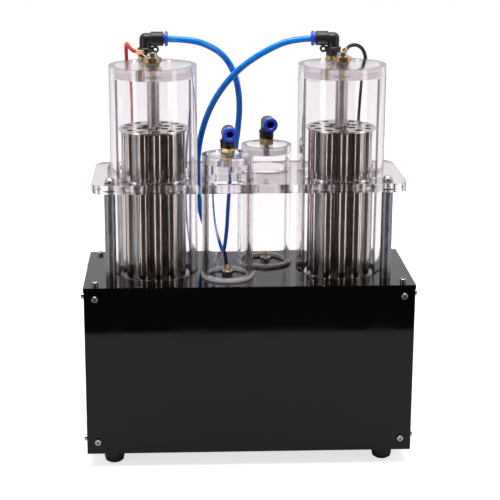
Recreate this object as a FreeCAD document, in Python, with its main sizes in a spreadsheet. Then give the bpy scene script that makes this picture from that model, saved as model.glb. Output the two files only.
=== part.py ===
"""A bench-top water electrolysis set of the Hofmann voltameter kind.

Two clear chambers stand on a black case. Each holds a bundle of steel electrode tubes under a
perforated disc and is closed by a lid with a terminal and a push-in elbow. The gas hoses run behind
the case into two elbows on its back, and inside it to two small bubbling columns, whose own elbows
are the free gas outlets. Millimetres, +Z up, front towards -Y, origin on the table under the middle
of the footprint.
"""
import FreeCAD, Part
import math
import os
import re

import Sketcher
from FreeCAD import Placement, Rotation, Vector

doc = FreeCAD.newDocument("voltameter")

SIZES = {
    # case
    "case_width": 300.0,
    "case_depth": 118.0,
    "case_height": 160.0,
    "sheet": 4.0,
    "panel_inset": 0.4,
    "base_recess": 2.0,
    "block_side": 12.0,
    "screw_inset": 10.0,
    "screw_head_height": 3.0,
    "screw_head_diameter": 5.6,
    "screw_shank_diameter": 2.9,
    "screw_length": 8.0,
    "screw_key": 2.6,
    "screw_hole": 3.4,
    "tapped_hole": 3.0,
    # feet
    "foot_height": 14.0,
    "foot_diameter": 18.5,
    "foot_tip_diameter": 13.0,
    "foot_inset_x": 24.5,
    "foot_inset_y": 18.0,
    "bolt_shank_diameter": 3.9,
    "bolt_hole": 4.0,
    "bolt_length": 14.0,
    "pan_head_diameter": 7.0,
    "pan_head_height": 2.6,
    # electrolysis chambers
    "chamber_spacing": 172.0,
    "chamber_diameter": 80.0,
    "chamber_wall": 5.0,
    "chamber_height": 192.5,
    "lid_thickness": 10.0,
    "glue_gap": 0.05,
    "gasket_thickness": 1.0,
    "flange_diameter": 92.0,
    "flange_thickness": 8.0,
    "sump_diameter": 40.0,
    "sump_depth": 2.0,
    # electrodes
    "disc_diameter": 64.0,
    "disc_thickness": 1.5,
    "disc_level": 135.5,
    "outer_ring_diameter": 50.5,
    "inner_ring_diameter": 25.0,
    "outer_count": 12,
    "inner_count": 6,
    "inner_ring_turn": 15.0,
    "left_bundle_turn": 7.3,
    "electrode_diameter": 9.0,
    "electrode_bore": 7.0,
    "pipe_diameter": 11.4,
    "pipe_wall": 1.2,
    "pipe_plug": 8.0,
    "tie_ring_diameter": 17.4,
    "tie_turn": 45.0,
    "tie_diameter": 2.9,
    "tie_hole": 3.0,
    "tie_head_across": 5.0,
    "tie_head_height": 2.4,
    # terminals
    "stud_diameter": 4.9,
    "stud_bore": 5.0,
    "stud_sink": 7.0,
    "terminal_nut_across": 14.6,
    "terminal_nut_height": 5.0,
    "lug_ring_diameter": 11.0,
    "lug_thickness": 0.8,
    "lug_rise": 2.5,
    "lug_reach": 8.5,
    "barrel_diameter": 4.4,
    "barrel_bore": 3.5,
    "barrel_length": 7.0,
    "barrel_seat": 1.2,
    "left_lug_turn": 158.0,
    "right_lug_turn": 72.0,
    "locknut_across": 8.0,
    "locknut_height": 2.7,
    # push-in fittings
    "seal_diameter": 13.0,
    "seal_thickness": 2.0,
    "stem_hex_across": 12.0,
    "stem_hex_height": 4.0,
    "stem_thread_length": 11.0,
    "stem_bore": 2.4,
    "spigot_diameter": 7.0,
    "spigot_length": 7.0,
    "running_gap": 0.05,
    "swivel_gap": 0.3,
    "barrel_foot_diameter": 13.4,
    "barrel_foot_height": 4.6,
    "waist_diameter": 14.4,
    "waist_height": 2.8,
    "upright_diameter": 10.8,
    "socket_level": 21.5,
    "socket_start": 4.7,
    "socket_end": 16.6,
    "socket_diameter": 13.2,
    "elbow_bore": 4.0,
    "ear_diameter": 6.4,
    "ear_thickness": 4.5,
    "ear_hole": 3.0,
    "ear_reach": 9.2,
    "ear_drop": 9.6,
    "collar_diameter": 13.6,
    "collar_flange": 2.8,
    "collar_travel": 0.9,
    "stop_gap": 0.3,
    "sleeve_diameter": 9.0,
    "sleeve_length": 6.6,
    "collar_bore": 6.2,
    "hose_seat_depth": 6.5,
    "elbow_offset_x": 6.7,
    "elbow_offset_y": 15.0,
    # bubbling columns
    "column_offset_x": 19.0,
    "column_offset_y": 22.0,
    "column_diameter": 47.0,
    "column_wall": 4.5,
    "column_height": 114.2,
    "column_lid": 7.5,
    "ring_diameter": 48.6,
    "ring_lip": 1.0,
    "ring_thickness": 2.6,
    "front_socket_turn": -86.0,
    "rear_socket_turn": -83.0,
    "inlet_diameter": 5.8,
    "inlet_bore": 3.0,
    "inlet_rise": 10.0,
    "inlet_drop": 12.0,
    "inlet_collar_diameter": 10.0,
    "inlet_collar_thickness": 2.0,
    "inlet_nut_across": 9.0,
    "inlet_nut_height": 5.0,
    # support plate
    "support_margin": 15.5,
    "support_depth": 100.0,
    "support_thickness": 8.0,
    "support_level": 92.0,
    "support_corner": 12.0,
    "support_gap": 0.3,
    "post_diameter": 10.0,
    "post_inset_x": 15.9,
    "post_inset_y": 17.7,
    "post_thread_depth": 14.0,
    "washer_diameter": 9.2,
    "washer_thickness": 0.9,
    "dome_diameter": 7.8,
    "dome_height": 2.4,
    "dome_key": 2.5,
    "support_bolt_reach": 10.0,
    # back of the case
    "left_port_x": -38.0,
    "right_port_x": -2.0,
    "port_level": 98.0,
    "power_inlet_inset": 55.0,
    "power_inlet_level": 99.0,
    "power_inlet_width": 31.0,
    "power_inlet_height": 52.0,
    "power_inlet_rim": 2.5,
    "power_body_width": 27.0,
    "power_body_height": 47.0,
    "power_body_depth": 26.0,
    "power_socket_width": 24.4,
    "power_socket_height": 16.4,
    "power_socket_depth": 18.0,
    "pin_width": 2.0,
    "pin_height": 4.0,
    "pin_length": 11.0,
    "pin_pitch": 7.0,
    "rocker_width": 19.0,
    "rocker_height": 12.0,
    "rocker_gap": 0.35,
    "rocker_thickness": 8.0,
    "rocker_proud": 1.2,
    "rocker_lean": 8.0,
    # inside the case
    "supply_width": 199.0,
    "supply_depth": 98.0,
    "supply_height": 38.0,
    "strip_width": 16.0,
    "strip_height": 22.0,
    "link_diameter": 16.0,
    "link_bore": 12.0,
    "link_drop": 40.0,
    "link_seat": 4.0,
    "grommet_x": 111.5,
    "grommet_y": 49.0,
    "grommet_diameter": 9.0,
    "grommet_neck": 6.4,
    "grommet_lip": 1.4,
    "lead_diameter": 3.4,
    "hose_diameter": 6.0,
    "wire_diameter": 2.4,
    "wire_tail": 12.0,
    "wire_drop": 20.0,
}

sheet = doc.addObject("Spreadsheet::Sheet", "Sizes")
for row, (alias, value) in enumerate(SIZES.items(), start=1):
    sheet.set(f"A{row}", alias)
    sheet.set(f"B{row}", str(value))
    sheet.setAlias(f"B{row}", alias)
doc.recompute()

WORD = re.compile(r"[a-z][a-z_]*")


def bound(formula):
    """The formula with its size names spelled the way an expression reads them from the sheet."""
    return WORD.sub(lambda word: "Sizes." + word.group() if word.group() in SIZES else word.group(), formula)


def amount(formula):
    """The formula's value in millimetres."""
    return FreeCAD.Units.Quantity(WORD.sub(lambda word: str(SIZES[word.group()]), formula)).Value


def drive(thing, **formulas):
    """Ties properties of an object to formulas of the sheet's sizes."""
    for name, formula in formulas.items():
        thing.setExpression(name.replace("_", "."), bound(formula))
    return thing


# Levels and offsets that many pieces share. The rear elbows reach further out than the front screws,
# so the case sits a little in front of the middle of the footprint.
MIDDLE = "(screw_head_height - socket_level - collar_diameter / 2) / 2"
TOP = "(foot_height + case_height)"
UNDER_TOP = "(foot_height + case_height - sheet)"
BASE = "(foot_height + base_recess)"
FACE_X = "(case_width / 2 - panel_inset)"
FACE_Y = "(case_depth / 2 - panel_inset)"
CHAMBER_X = "(chamber_spacing / 2)"
CHAMBER_TOP = "(foot_height + case_height + chamber_height)"
COLUMN_TOP = "(foot_height + case_height + column_height)"
SUPPORT_TOP = "(foot_height + case_height + support_level)"
FITTING_FOOT = "(seal_thickness + stem_hex_height + swivel_gap)"
SUPPORT_WIDTH = "(chamber_spacing + chamber_diameter + 2 * support_margin)"
POST_X = f"({SUPPORT_WIDTH} / 2 - post_inset_x)"
POST_Y = "(support_depth / 2 - post_inset_y)"
FOOT_X = "(case_width / 2 - foot_inset_x)"
FOOT_Y = "(case_depth / 2 - foot_inset_y)"
SCREW_X = "(case_width / 2 - screw_inset - panel_inset)"
SCREW_Y = "(case_depth / 2 - screw_inset - panel_inset)"
SCREW_TOP = "(foot_height + case_height - screw_inset)"
SCREW_BASE = "(foot_height + base_recess + sheet + block_side / 2)"
POWER_X = "(case_width / 2 - power_inlet_inset)"
BARREL_LEVEL = "(lug_rise + barrel_diameter * 0.3)"

UPRIGHT = (Vector(0, 0, 1), "0")
TO_FRONT = (Vector(1, 0, 0), "90")
TO_BACK = (Vector(1, 0, 0), "-90")
TO_LEFT = (Vector(0, 1, 0), "-90")
TO_RIGHT = (Vector(0, 1, 0), "90")
DOWN = (Vector(1, 0, 0), "180")
SOCKET_UP = (Vector(1, 1, 1), "-120")


def put(thing, x="0", y="0", z="0", turn=UPRIGHT):
    """Places a piece by formulas, measured from the middle of the case and from the table."""
    axis, angle = turn
    thing.Placement = Placement(Vector(0, 0, 0), Rotation(axis, 1))
    thing.setExpression("Placement.Rotation.Angle", bound(angle))
    drive(thing, Placement_Base_x=x, Placement_Base_y=f"{y} + {MIDDLE}", Placement_Base_z=z)
    return thing


def node(label, master, spots):
    """A named sub-part: one placed copy of the master for each spot."""
    copies = []
    for spot in spots:
        copy = doc.addObject("App::Link", "Copy")
        copy.LinkedObject = master
        copies.append(put(copy, *spot))
    group = doc.addObject("Part::Compound", "Node")
    group.Links = copies
    group.Label = label
    NODES.append(group)
    return group


NODES = []
SIDES = (("left", "-"), ("right", ""))
CORNERS = [("-", "-"), ("", "-"), ("-", ""), ("", "")]


# Ways of making a piece

def rod(width, height, base="0", x="0", y="0"):
    """A round bar standing on a level, in the piece's own frame."""
    bar = doc.addObject("Part::Cylinder", "Rod")
    return drive(bar, Radius=f"({width}) / 2", Height=height,
                 Placement_Base_x=x, Placement_Base_y=y, Placement_Base_z=base)


def cross_rod(width, start, end, level):
    """A round bar along X between two stations at a level."""
    bar = doc.addObject("Part::Cylinder", "CrossRod")
    bar.Placement = Placement(Vector(0, 0, 0), Rotation(Vector(0, 1, 0), 90))
    return drive(bar, Radius=f"({width}) / 2", Height=f"({end}) - ({start})",
                 Placement_Base_x=start, Placement_Base_z=level)


def block(length, width, height, x="0", y="0", z="0"):
    """A box centred over x and y and standing on a level."""
    box = doc.addObject("Part::Box", "Block")
    return drive(box, Length=length, Width=width, Height=height, Placement_Base_x=f"{x} - ({length}) / 2",
                 Placement_Base_y=f"{y} - ({width}) / 2", Placement_Base_z=z)


def hexagon(across, height, base="0"):
    """A hexagonal prism by its width across the flats."""
    prism = doc.addObject("Part::Prism", "Hexagon")
    prism.Polygon = 6
    return drive(prism, Circumradius=f"({across}) / 2 / cos(30)", Height=height, Placement_Base_z=base)


def cut(base, *tools):
    """The base less every tool."""
    for tool in tools:
        trimmed = doc.addObject("Part::Cut", "Cut")
        trimmed.Base = base
        trimmed.Tool = tool
        base = trimmed
    return base


def joined(*pieces):
    """The pieces as one solid."""
    whole = doc.addObject("Part::MultiFuse", "Joined")
    whole.Shapes = list(pieces)
    whole.Refine = True
    return whole


def common(one, other):
    """What two pieces share."""
    shared = doc.addObject("Part::Common", "Common")
    shared.Base = one
    shared.Tool = other
    return shared


def sketch_in(body, role):
    """A sketch on one of the body's own origin planes."""
    sketch = body.newObject("Sketcher::SketchObject", "Sketch")
    plane = next(part for part in body.Origin.OriginFeatures if part.Role == role)
    sketch.AttachmentSupport = [(plane, "")]
    sketch.MapMode = "FlatFace"
    return sketch


def tie_point(sketch, edge, end, across, up):
    """Holds a sketch point at a distance from the sketch's origin, both ways."""
    for kind, formula, axis in (("DistanceX", across, -2), ("DistanceY", up, -1)):
        if formula == "0":
            sketch.addConstraint(Sketcher.Constraint("PointOnObject", edge, end, axis))
        else:
            number = sketch.addConstraint(Sketcher.Constraint(kind, -1, 1, edge, end, amount(formula)))
            sketch.setExpression(f"Constraints[{number}]", bound(formula))


def draw_polygon(sketch, corners):
    """A closed outline whose every corner is tied to sizes."""
    first = sketch.GeometryCount
    spots = [Vector(amount(across), amount(up), 0) for across, up in corners]
    count = len(corners)
    for index in range(count):
        sketch.addGeometry(Part.LineSegment(spots[index], spots[(index + 1) % count]), False)
    for index in range(count):
        following = first + (index + 1) % count
        sketch.addConstraint(Sketcher.Constraint("Coincident", first + index, 2, following, 1))
    for index, (across, up) in enumerate(corners):
        tie_point(sketch, first + index, 1, across, up)


def draw_circle(sketch, width, across="0", up="0"):
    """A circle by its diameter and centre."""
    centre = Vector(amount(across), amount(up), 0)
    edge = sketch.addGeometry(Part.Circle(centre, Vector(0, 0, 1), amount(f"({width}) / 2")), False)
    tie_point(sketch, edge, 3, across, up)
    number = sketch.addConstraint(Sketcher.Constraint("Radius", edge, amount(f"({width}) / 2")))
    sketch.setExpression(f"Constraints[{number}]", bound(f"({width}) / 2"))


def turned(profile):
    """A lathe-turned piece: its half outline, as radius and level, spun about Z."""
    body = doc.addObject("PartDesign::Body", "Turned")
    sketch = sketch_in(body, "XZ_Plane")
    draw_polygon(sketch, profile)
    spin = body.newObject("PartDesign::Revolution", "Spin")
    spin.Profile = sketch
    spin.ReferenceAxis = (sketch, ["V_Axis"])
    spin.Angle = 360
    return body


def washer(outer, inner, height, base="0"):
    """A flat ring."""
    upper = f"{base} + {height}"
    near, far = f"{inner} / 2", f"{outer} / 2"
    return turned([(near, base), (far, base), (far, upper), (near, upper)])


def sheet_piece(length, width, thickness, holes=(), corner=None):
    """A sawn sheet centred on its origin, with round holes given as (across, up, diameter)."""
    body = doc.addObject("PartDesign::Body", "SheetPiece")
    sketch = sketch_in(body, "XY_Plane")
    side, end = f"({length}) / 2", f"({width}) / 2"
    draw_polygon(sketch, [(f"-{side}", f"-{end}"), (side, f"-{end}"), (side, end), (f"-{side}", end)])
    for across, up, hole in holes:
        draw_circle(sketch, hole, across, up)
    pad = body.newObject("PartDesign::Pad", "Pad")
    pad.Profile = sketch
    drive(pad, Length=thickness)
    if corner:
        doc.recompute()
        straight = [f"Edge{index}" for index, edge in enumerate(pad.Shape.Edges, start=1)
                    if len(edge.Vertexes) == 2 and isinstance(edge.Curve, Part.Line)
                    and abs(edge.tangentAt(edge.FirstParameter).z) > 0.99]
        rounding = body.newObject("PartDesign::Fillet", "Rounding")
        rounding.Base = (pad, straight)
        drive(rounding, Radius=corner)
    return body


def hex_head(across, height, base="0"):
    """A hexagon with its corners turned off on both faces."""
    rim, edge, drop = f"{across} * 0.57", f"{across} * 0.48", f"{across} * 0.05"
    upper = f"{base} + {height}"
    envelope = turned([("0", base), (edge, base), (rim, f"{base} + {drop}"), (rim, f"{upper} - {drop}"),
                       (edge, upper), ("0", upper)])
    return common(hexagon(across, height, base), envelope)


def hex_nut(across, height, bore):
    """A hexagon nut."""
    return cut(hex_head(across, height), rod(bore, height))


# Bent tubes

def route_edges(points):
    """Straight runs joined by tangent arcs, each arc as large as its two runs allow, and the radii."""
    spots = [Vector(*point) for point in points]
    edges, radii, start = [], [], spots[0]
    for before, corner, after in zip(spots, spots[1:], spots[2:]):
        back, ahead = before - corner, after - corner
        reach = 0.45 * min(back.Length, ahead.Length)
        back.normalize()
        ahead.normalize()
        half_turn = (math.pi - back.getAngle(ahead)) / 2
        radius = reach / math.tan(half_turn)
        inward = (back + ahead).normalize()
        middle = corner + inward * (radius / math.cos(half_turn) - radius)
        arc = Part.Arc(corner + back * reach, middle, corner + ahead * reach)
        edges += [Part.LineSegment(start, corner + back * reach).toShape(), arc.toShape()]
        radii.append(radius)
        start = corner + ahead * reach
    edges.append(Part.LineSegment(start, spots[-1]).toShape())
    return edges, radii


def tube_along(points, diameter, bore=0.0):
    """A tube of one diameter along a route, and the figures that show it is sound."""
    edges, radii = route_edges(points)
    path = Part.Wire(edges)
    heading = Vector(*points[1]) - Vector(*points[0])
    skins = []
    for width in (diameter, bore):
        if width:
            ring = Part.Wire([Part.Circle(Vector(*points[0]), heading, width / 2).toShape()])
            skins.append(path.makePipeShell([ring], True, False))
    solid = skins[0].cut(skins[1]) if bore else skins[0]
    expected = path.Length * math.pi * (diameter ** 2 - bore ** 2) / 4
    return solid, path.Length, min(radii, default=0.0), solid.Volume / expected


def bent_node(label, routes, diameter, bore=0.0):
    """A named sub-part of one or more bent tubes."""
    solids = []
    for points in routes:
        solid, length, tightest, ratio = tube_along(points, diameter, bore)
        print(f"{label}: length {length:.0f} mm, tightest bend {tightest:.1f} mm, volume ratio {ratio:.4f}")
        solids.append(solid)
    tube = doc.addObject("Part::Feature", "BentTube")
    tube.Shape = solids[0] if len(solids) == 1 else Part.makeCompound(solids)
    tube.Label = label
    NODES.append(tube)
    return tube


# Case

def case_panels():
    """Six sheets of black acrylic: the top lies on the four sides, and the base sits between them."""
    hole = "screw_hole"
    side_height = "(case_height - sheet)"
    middle_level = f"(foot_height + {side_height} / 2)"
    top_row = f"({side_height} / 2 - screw_inset + sheet)"
    base_row = f"({SCREW_BASE} - {middle_level})"
    corner_holes = [(f"{a}{SCREW_X}", f"{b}{SCREW_Y}", hole) for a, b in CORNERS]
    top_holes = corner_holes + [(f"{a}{CHAMBER_X}", "0", "(chamber_diameter + 2 * glue_gap)")
                                for _, a in SIDES]
    top_holes += [(f"{a}{POST_X}", f"{b}{POST_Y}", "bolt_hole") for a, b in CORNERS]
    top_holes += [(f"{a}column_offset_x", f"{a}column_offset_y", "(inlet_diameter + 2 * glue_gap)")
                  for _, a in SIDES]
    top_holes += [(f"{a}grommet_x", "grommet_y", "grommet_neck") for _, a in SIDES]
    node("top_plate", sheet_piece("case_width", "case_depth", "sheet", top_holes), [("0", "0", UNDER_TOP)])

    upright_holes = [(f"{a}{SCREW_X}", level, hole) for a in ("-", "") for level in (top_row, base_row)]
    long_side = f"2 * {FACE_X}"
    node("front_panel", sheet_piece(long_side, side_height, "sheet", upright_holes),
         [("0", f"-{FACE_Y} + sheet", middle_level, TO_FRONT)])
    port_holes = [(name, f"(port_level - {middle_level})", "stud_bore")
                  for name in ("left_port_x", "right_port_x")]
    back = sheet_piece(long_side, side_height, "sheet", upright_holes + port_holes)
    window = block("power_body_width + 0.4", "power_body_height + 0.4", "3 * sheet",
                   POWER_X, f"(power_inlet_level - {middle_level})", "-sheet")
    node("back_panel", cut(back, window), [("0", FACE_Y, middle_level, TO_FRONT)])

    short_side = f"2 * ({FACE_Y} - sheet)"
    side_holes = [(level, f"{b}{SCREW_Y}", hole) for b in ("-", "") for level in (top_row, base_row)]
    side = sheet_piece(side_height, short_side, "sheet", side_holes)
    node("left_panel", side, [(f"-{FACE_X} + sheet", "0", middle_level, TO_LEFT)])
    mirrored = [(f"-{level}", up, width) for level, up, width in side_holes]
    other = sheet_piece(side_height, short_side, "sheet", mirrored)
    node("right_panel", other, [(f"{FACE_X} - sheet", "0", middle_level, TO_RIGHT)])

    base_holes = corner_holes + [(f"{a}{FOOT_X}", f"{b}{FOOT_Y}", "bolt_hole") for a, b in CORNERS]
    base = sheet_piece(f"2 * ({FACE_X} - sheet)", short_side, "sheet", base_holes)
    node("base_panel", base, [("0", "0", BASE)])


def corner_blocks():
    """Aluminium cubes in the eight corners, cross-drilled for the panel screws."""
    cube = block("block_side", "block_side", "block_side", z="-block_side / 2")
    bores = [rod("tapped_hole", "2 * block_side", "-block_side")]
    for turn in (TO_BACK, TO_RIGHT):
        bore = rod("tapped_hole", "block_side")
        bore.Placement = Placement(Vector(0, 0, 0), Rotation(turn[0], float(turn[1])))
        bores.append(bore)
    inner_x, inner_y = f"({FACE_X} - sheet - block_side / 2)", f"({FACE_Y} - sheet - block_side / 2)"
    turns = {("-", "-"): "180", ("", "-"): "-90", ("-", ""): "90", ("", ""): "0"}
    levels = (f"({UNDER_TOP} - block_side / 2)", SCREW_BASE)
    spots = [(f"{a}{inner_x}", f"{b}{inner_y}", level, (Vector(0, 0, 1), turns[a, b]))
             for a, b in CORNERS for level in levels]
    node("corner_blocks", cut(cube, *bores), spots)


def panel_screws():
    """Socket head screws that hold the six panels to the corner blocks."""
    head, shank = "screw_head_diameter / 2", "screw_shank_diameter / 2"
    bevel = "screw_head_height * 0.12"
    blank = turned([("0", "-screw_length"), (shank, "-screw_length"), (shank, "0"), (head, "0"),
                    (head, f"screw_head_height - {bevel}"), (f"{head} - {bevel}", "screw_head_height"),
                    ("0", "screw_head_height")])
    screw = cut(blank, hexagon("screw_key", "screw_head_height", "screw_head_height * 0.4"))
    spots = [(f"{a}{SCREW_X}", f"{b}{SCREW_Y}", TOP) for a, b in CORNERS]
    spots += [(f"{a}{SCREW_X}", f"{b}{SCREW_Y}", BASE, DOWN) for a, b in CORNERS]
    for level in (SCREW_TOP, SCREW_BASE):
        for a, _ in (("-", 0), ("", 0)):
            spots.append((f"{a}{SCREW_X}", f"-{FACE_Y}", level, TO_FRONT))
            spots.append((f"{a}{SCREW_X}", FACE_Y, level, TO_BACK))
            spots.append((f"-{FACE_X}", f"{a}{SCREW_Y}", level, TO_LEFT))
            spots.append((FACE_X, f"{a}{SCREW_Y}", level, TO_RIGHT))
    node("panel_screws", screw, spots)


def feet():
    """Domed rubber feet, each held by a screw whose head sits up inside the foot."""
    rim, tip = "foot_diameter / 2", "foot_tip_diameter / 2"
    well, seat = "(pan_head_diameter / 2 + 0.5)", "foot_height * 0.5"
    foot = turned([(well, "0"), (tip, "0"), (f"({tip} + {rim}) / 2 + 0.6", "foot_height * 0.1"),
                   (rim, "foot_height * 0.35"), (rim, BASE), ("bolt_hole / 2", BASE),
                   ("bolt_hole / 2", seat), (well, seat)])
    node("rubber_feet", foot, [(f"{a}{FOOT_X}", f"{b}{FOOT_Y}") for a, b in CORNERS])


def pan_screws():
    """The pan head screws under the feet and under the posts are the same."""
    head, shank = "pan_head_diameter / 2", "bolt_shank_diameter / 2"
    blank = turned([("0", "0"), (f"{head} * 0.8", "0"), (head, "pan_head_height * 0.4"),
                    (head, "pan_head_height"), (shank, "pan_head_height"),
                    (shank, "pan_head_height + bolt_length"), ("0", "pan_head_height + bolt_length")])
    slot = block("pan_head_diameter * 0.6", "1", "1.2")
    other = block("1", "pan_head_diameter * 0.6", "1.2")
    screw = cut(blank, slot, other)
    spots = [(f"{a}{FOOT_X}", f"{b}{FOOT_Y}", "foot_height * 0.5 - pan_head_height") for a, b in CORNERS]
    spots += [(f"{a}{POST_X}", f"{b}{POST_Y}", f"{UNDER_TOP} - pan_head_height") for a, b in CORNERS]
    node("foot_and_post_screws", screw, spots)


# Electrolysis chambers

def chambers():
    """Clear tubes that drop through the top plate onto a flange, with a lid set into the mouth."""
    bore = "(chamber_diameter - 2 * chamber_wall)"
    tube = washer("chamber_diameter", bore, "(chamber_height + sheet - gasket_thickness)")
    lid_width = f"({bore} - 2 * glue_gap)"
    lid = sheet_disc(lid_width, "lid_thickness", [("0", "0", "stud_bore"),
                                                  ("-elbow_offset_x", "elbow_offset_y", "stud_bore")])
    gasket = washer("chamber_diameter", bore, "gasket_thickness")
    flange = cut(rod("flange_diameter", "flange_thickness"),
                 rod("sump_diameter", "sump_depth + 1", "flange_thickness - sump_depth"),
                 rod("link_bore", "flange_thickness"),
                 rod("link_diameter + 2 * glue_gap", "link_seat"))
    both = [(f"{a}{CHAMBER_X}", "0") for _, a in SIDES]
    for side, a in SIDES:
        node(f"{side}_chamber_tube", tube, [(f"{a}{CHAMBER_X}", "0", f"{UNDER_TOP} + gasket_thickness")])
    node("chamber_lids", lid, [(x, y, f"{CHAMBER_TOP} - lid_thickness") for x, y in both])
    node("chamber_gaskets", gasket, [(x, y, UNDER_TOP) for x, y in both])
    node("chamber_flanges", flange, [(x, y, f"{UNDER_TOP} - flange_thickness") for x, y in both])


def sheet_disc(width, thickness, holes=()):
    """A round sheet with round holes given as (across, up, diameter)."""
    body = doc.addObject("PartDesign::Body", "Disc")
    sketch = sketch_in(body, "XY_Plane")
    draw_circle(sketch, width)
    for across, up, hole in holes:
        draw_circle(sketch, hole, across, up)
    pad = body.newObject("PartDesign::Pad", "Pad")
    pad.Profile = sketch
    drive(pad, Length=thickness)
    return body


def polar(radius, turn):
    """Formulas across and up for a point at a radius and at one of the sheet's angles."""
    angle = math.radians(SIZES[turn])
    return f"{radius} * {math.cos(angle):.6f}", f"{radius} * {math.sin(angle):.6f}"


def drilled_ring(body, across, up, hole, count):
    """A through hole in a disc, repeated round its axis."""
    sketch = sketch_in(body, "XY_Plane")
    draw_circle(sketch, hole, across, up)
    drill = body.newObject("PartDesign::Pocket", "Drill")
    drill.Profile = sketch
    drill.Type = "ThroughAll"
    drill.Midplane = True
    ring = body.newObject("PartDesign::PolarPattern", "Ring")
    ring.Originals = [drill]
    ring.Axis = (next(part for part in body.Origin.OriginFeatures if part.Role == "Z_Axis"), [""])
    ring.Angle = 360
    drive(ring, Occurrences=count)
    body.Tip = ring


BUNDLES = (("left", "-", "left_bundle_turn"), ("right", "", "0"))
FLOOR = f"({UNDER_TOP})"
DISC_TOP = "(foot_height + case_height + disc_level)"


def electrodes():
    """In each chamber, steel tubes stand between two drilled discs that three tie rods hold together."""
    disc = sheet_disc("disc_diameter", "disc_thickness")
    drilled_ring(disc, "outer_ring_diameter / 2", "0", "electrode_bore", "outer_count")
    drilled_ring(disc, *polar("inner_ring_diameter / 2", "inner_ring_turn"), "electrode_bore", "inner_count")
    drilled_ring(disc, *polar("tie_ring_diameter / 2", "tie_turn"), "tie_hole", "3")
    spots = []
    for _, a, phase in BUNDLES:
        for level in (FLOOR, f"{DISC_TOP} - disc_thickness"):
            spots.append((f"{a}{CHAMBER_X}", "0", level, (Vector(0, 0, 1), phase)))
    node("perforated_discs", disc, spots)

    height = f"({DISC_TOP} - {FLOOR} - 2 * disc_thickness)"
    tube = washer("electrode_diameter", "electrode_bore", height)
    rings = (("outer_ring_diameter", "outer_count", "0"),
             ("inner_ring_diameter", "inner_count", "inner_ring_turn"))
    for side, a, phase in BUNDLES:
        spots = []
        for ring, count, start in rings:
            for index in range(int(SIZES[count])):
                angle = f"({phase} + {start} + {index} * 360 / {count})"
                spots.append((f"{a}{CHAMBER_X} + {ring} / 2 * cos({angle})", f"{ring} / 2 * sin({angle})",
                              f"{FLOOR} + disc_thickness"))
        node(f"{side}_electrode_tubes", tube, spots)

    reach = f"({DISC_TOP} - {FLOOR})"
    tie = joined(hex_head("tie_head_across", "tie_head_height"),
                 rod("tie_diameter", f"{reach} + 1", f"-{reach}"))
    spots = []
    for _, a, phase in BUNDLES:
        for index in range(3):
            angle = f"({phase} + tie_turn + {index} * 120)"
            spots.append((f"{a}{CHAMBER_X} + tie_ring_diameter / 2 * cos({angle})",
                          f"tie_ring_diameter / 2 * sin({angle})", DISC_TOP))
    node("tie_bolts", tie, spots)


def centre_pipes():
    """The pipe that carries the bundle from the lid and feeds it its current."""
    outside, inside = "pipe_diameter / 2", "(pipe_diameter / 2 - pipe_wall)"
    length = "(chamber_height - lid_thickness - disc_level)"
    pipe = turned([(inside, "0"), (outside, "0"), (outside, length), ("stud_bore / 2", length),
                   ("stud_bore / 2", f"{length} - pipe_plug"), (inside, f"{length} - pipe_plug")])
    node("centre_pipes", pipe, [(f"{a}{CHAMBER_X}", "0", DISC_TOP) for _, a in SIDES])


# Terminals

NUT_TOP = f"({CHAMBER_TOP} + seal_thickness + terminal_nut_height)"


def terminals():
    """A brass stud up through each lid, a large brass nut, a crimped ring lug and a locknut."""
    stack = "seal_thickness + terminal_nut_height + lug_thickness + locknut_height"
    stud = rod("stud_diameter", f"stud_sink + lid_thickness + {stack} + 1")
    nut = hex_nut("terminal_nut_across", "terminal_nut_height", "stud_bore")
    locknut = hex_nut("locknut_across", "locknut_height", "stud_bore")
    both = [(f"{a}{CHAMBER_X}", "0") for _, a in SIDES]
    node("terminal_studs", stud, [(x, y, f"{CHAMBER_TOP} - lid_thickness - stud_sink") for x, y in both])
    node("terminal_nuts", nut, [(x, y, f"{CHAMBER_TOP} + seal_thickness") for x, y in both])
    node("terminal_locknuts", locknut, [(x, y, f"{NUT_TOP} + lug_thickness") for x, y in both])
    node("terminal_lugs", ring_lug(), [(f"-{CHAMBER_X}", "0", NUT_TOP, (Vector(0, 0, 1), "left_lug_turn")),
                                       (CHAMBER_X, "0", NUT_TOP, (Vector(0, 0, 1), "right_lug_turn"))])


def ring_lug():
    """A ring tongue lug along X: the ring lies flat and the neck climbs to the barrel."""
    ring = rod("lug_ring_diameter", "lug_thickness")
    width = "barrel_diameter * 0.9"
    body = doc.addObject("PartDesign::Body", "Neck")
    sketch = sketch_in(body, "XZ_Plane")
    foot, knee = "lug_ring_diameter * 0.4", "lug_reach - 2.5"
    draw_polygon(sketch, [(foot, "0"), (knee, "0"), ("lug_reach + 0.5", "lug_rise - lug_thickness"),
                          ("lug_reach + 0.5", "lug_rise"), ("lug_reach - 0.4", "lug_rise"),
                          (f"{knee} - 0.4", "lug_thickness"), (foot, "lug_thickness")])
    pad = body.newObject("PartDesign::Pad", "Pad")
    pad.Profile = sketch
    pad.Midplane = True
    drive(pad, Length=width)
    barrel = cross_rod("barrel_diameter", "lug_reach", "lug_reach + barrel_length", BARREL_LEVEL)
    mouth = cross_rod("barrel_bore", "lug_reach + 1", "lug_reach + barrel_length", BARREL_LEVEL)
    return cut(joined(ring, body, barrel), rod("stud_bore", "lug_thickness"), mouth)


# Push-in fittings: the stem stands along Z on the face it is screwed into, the socket looks along X

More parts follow.
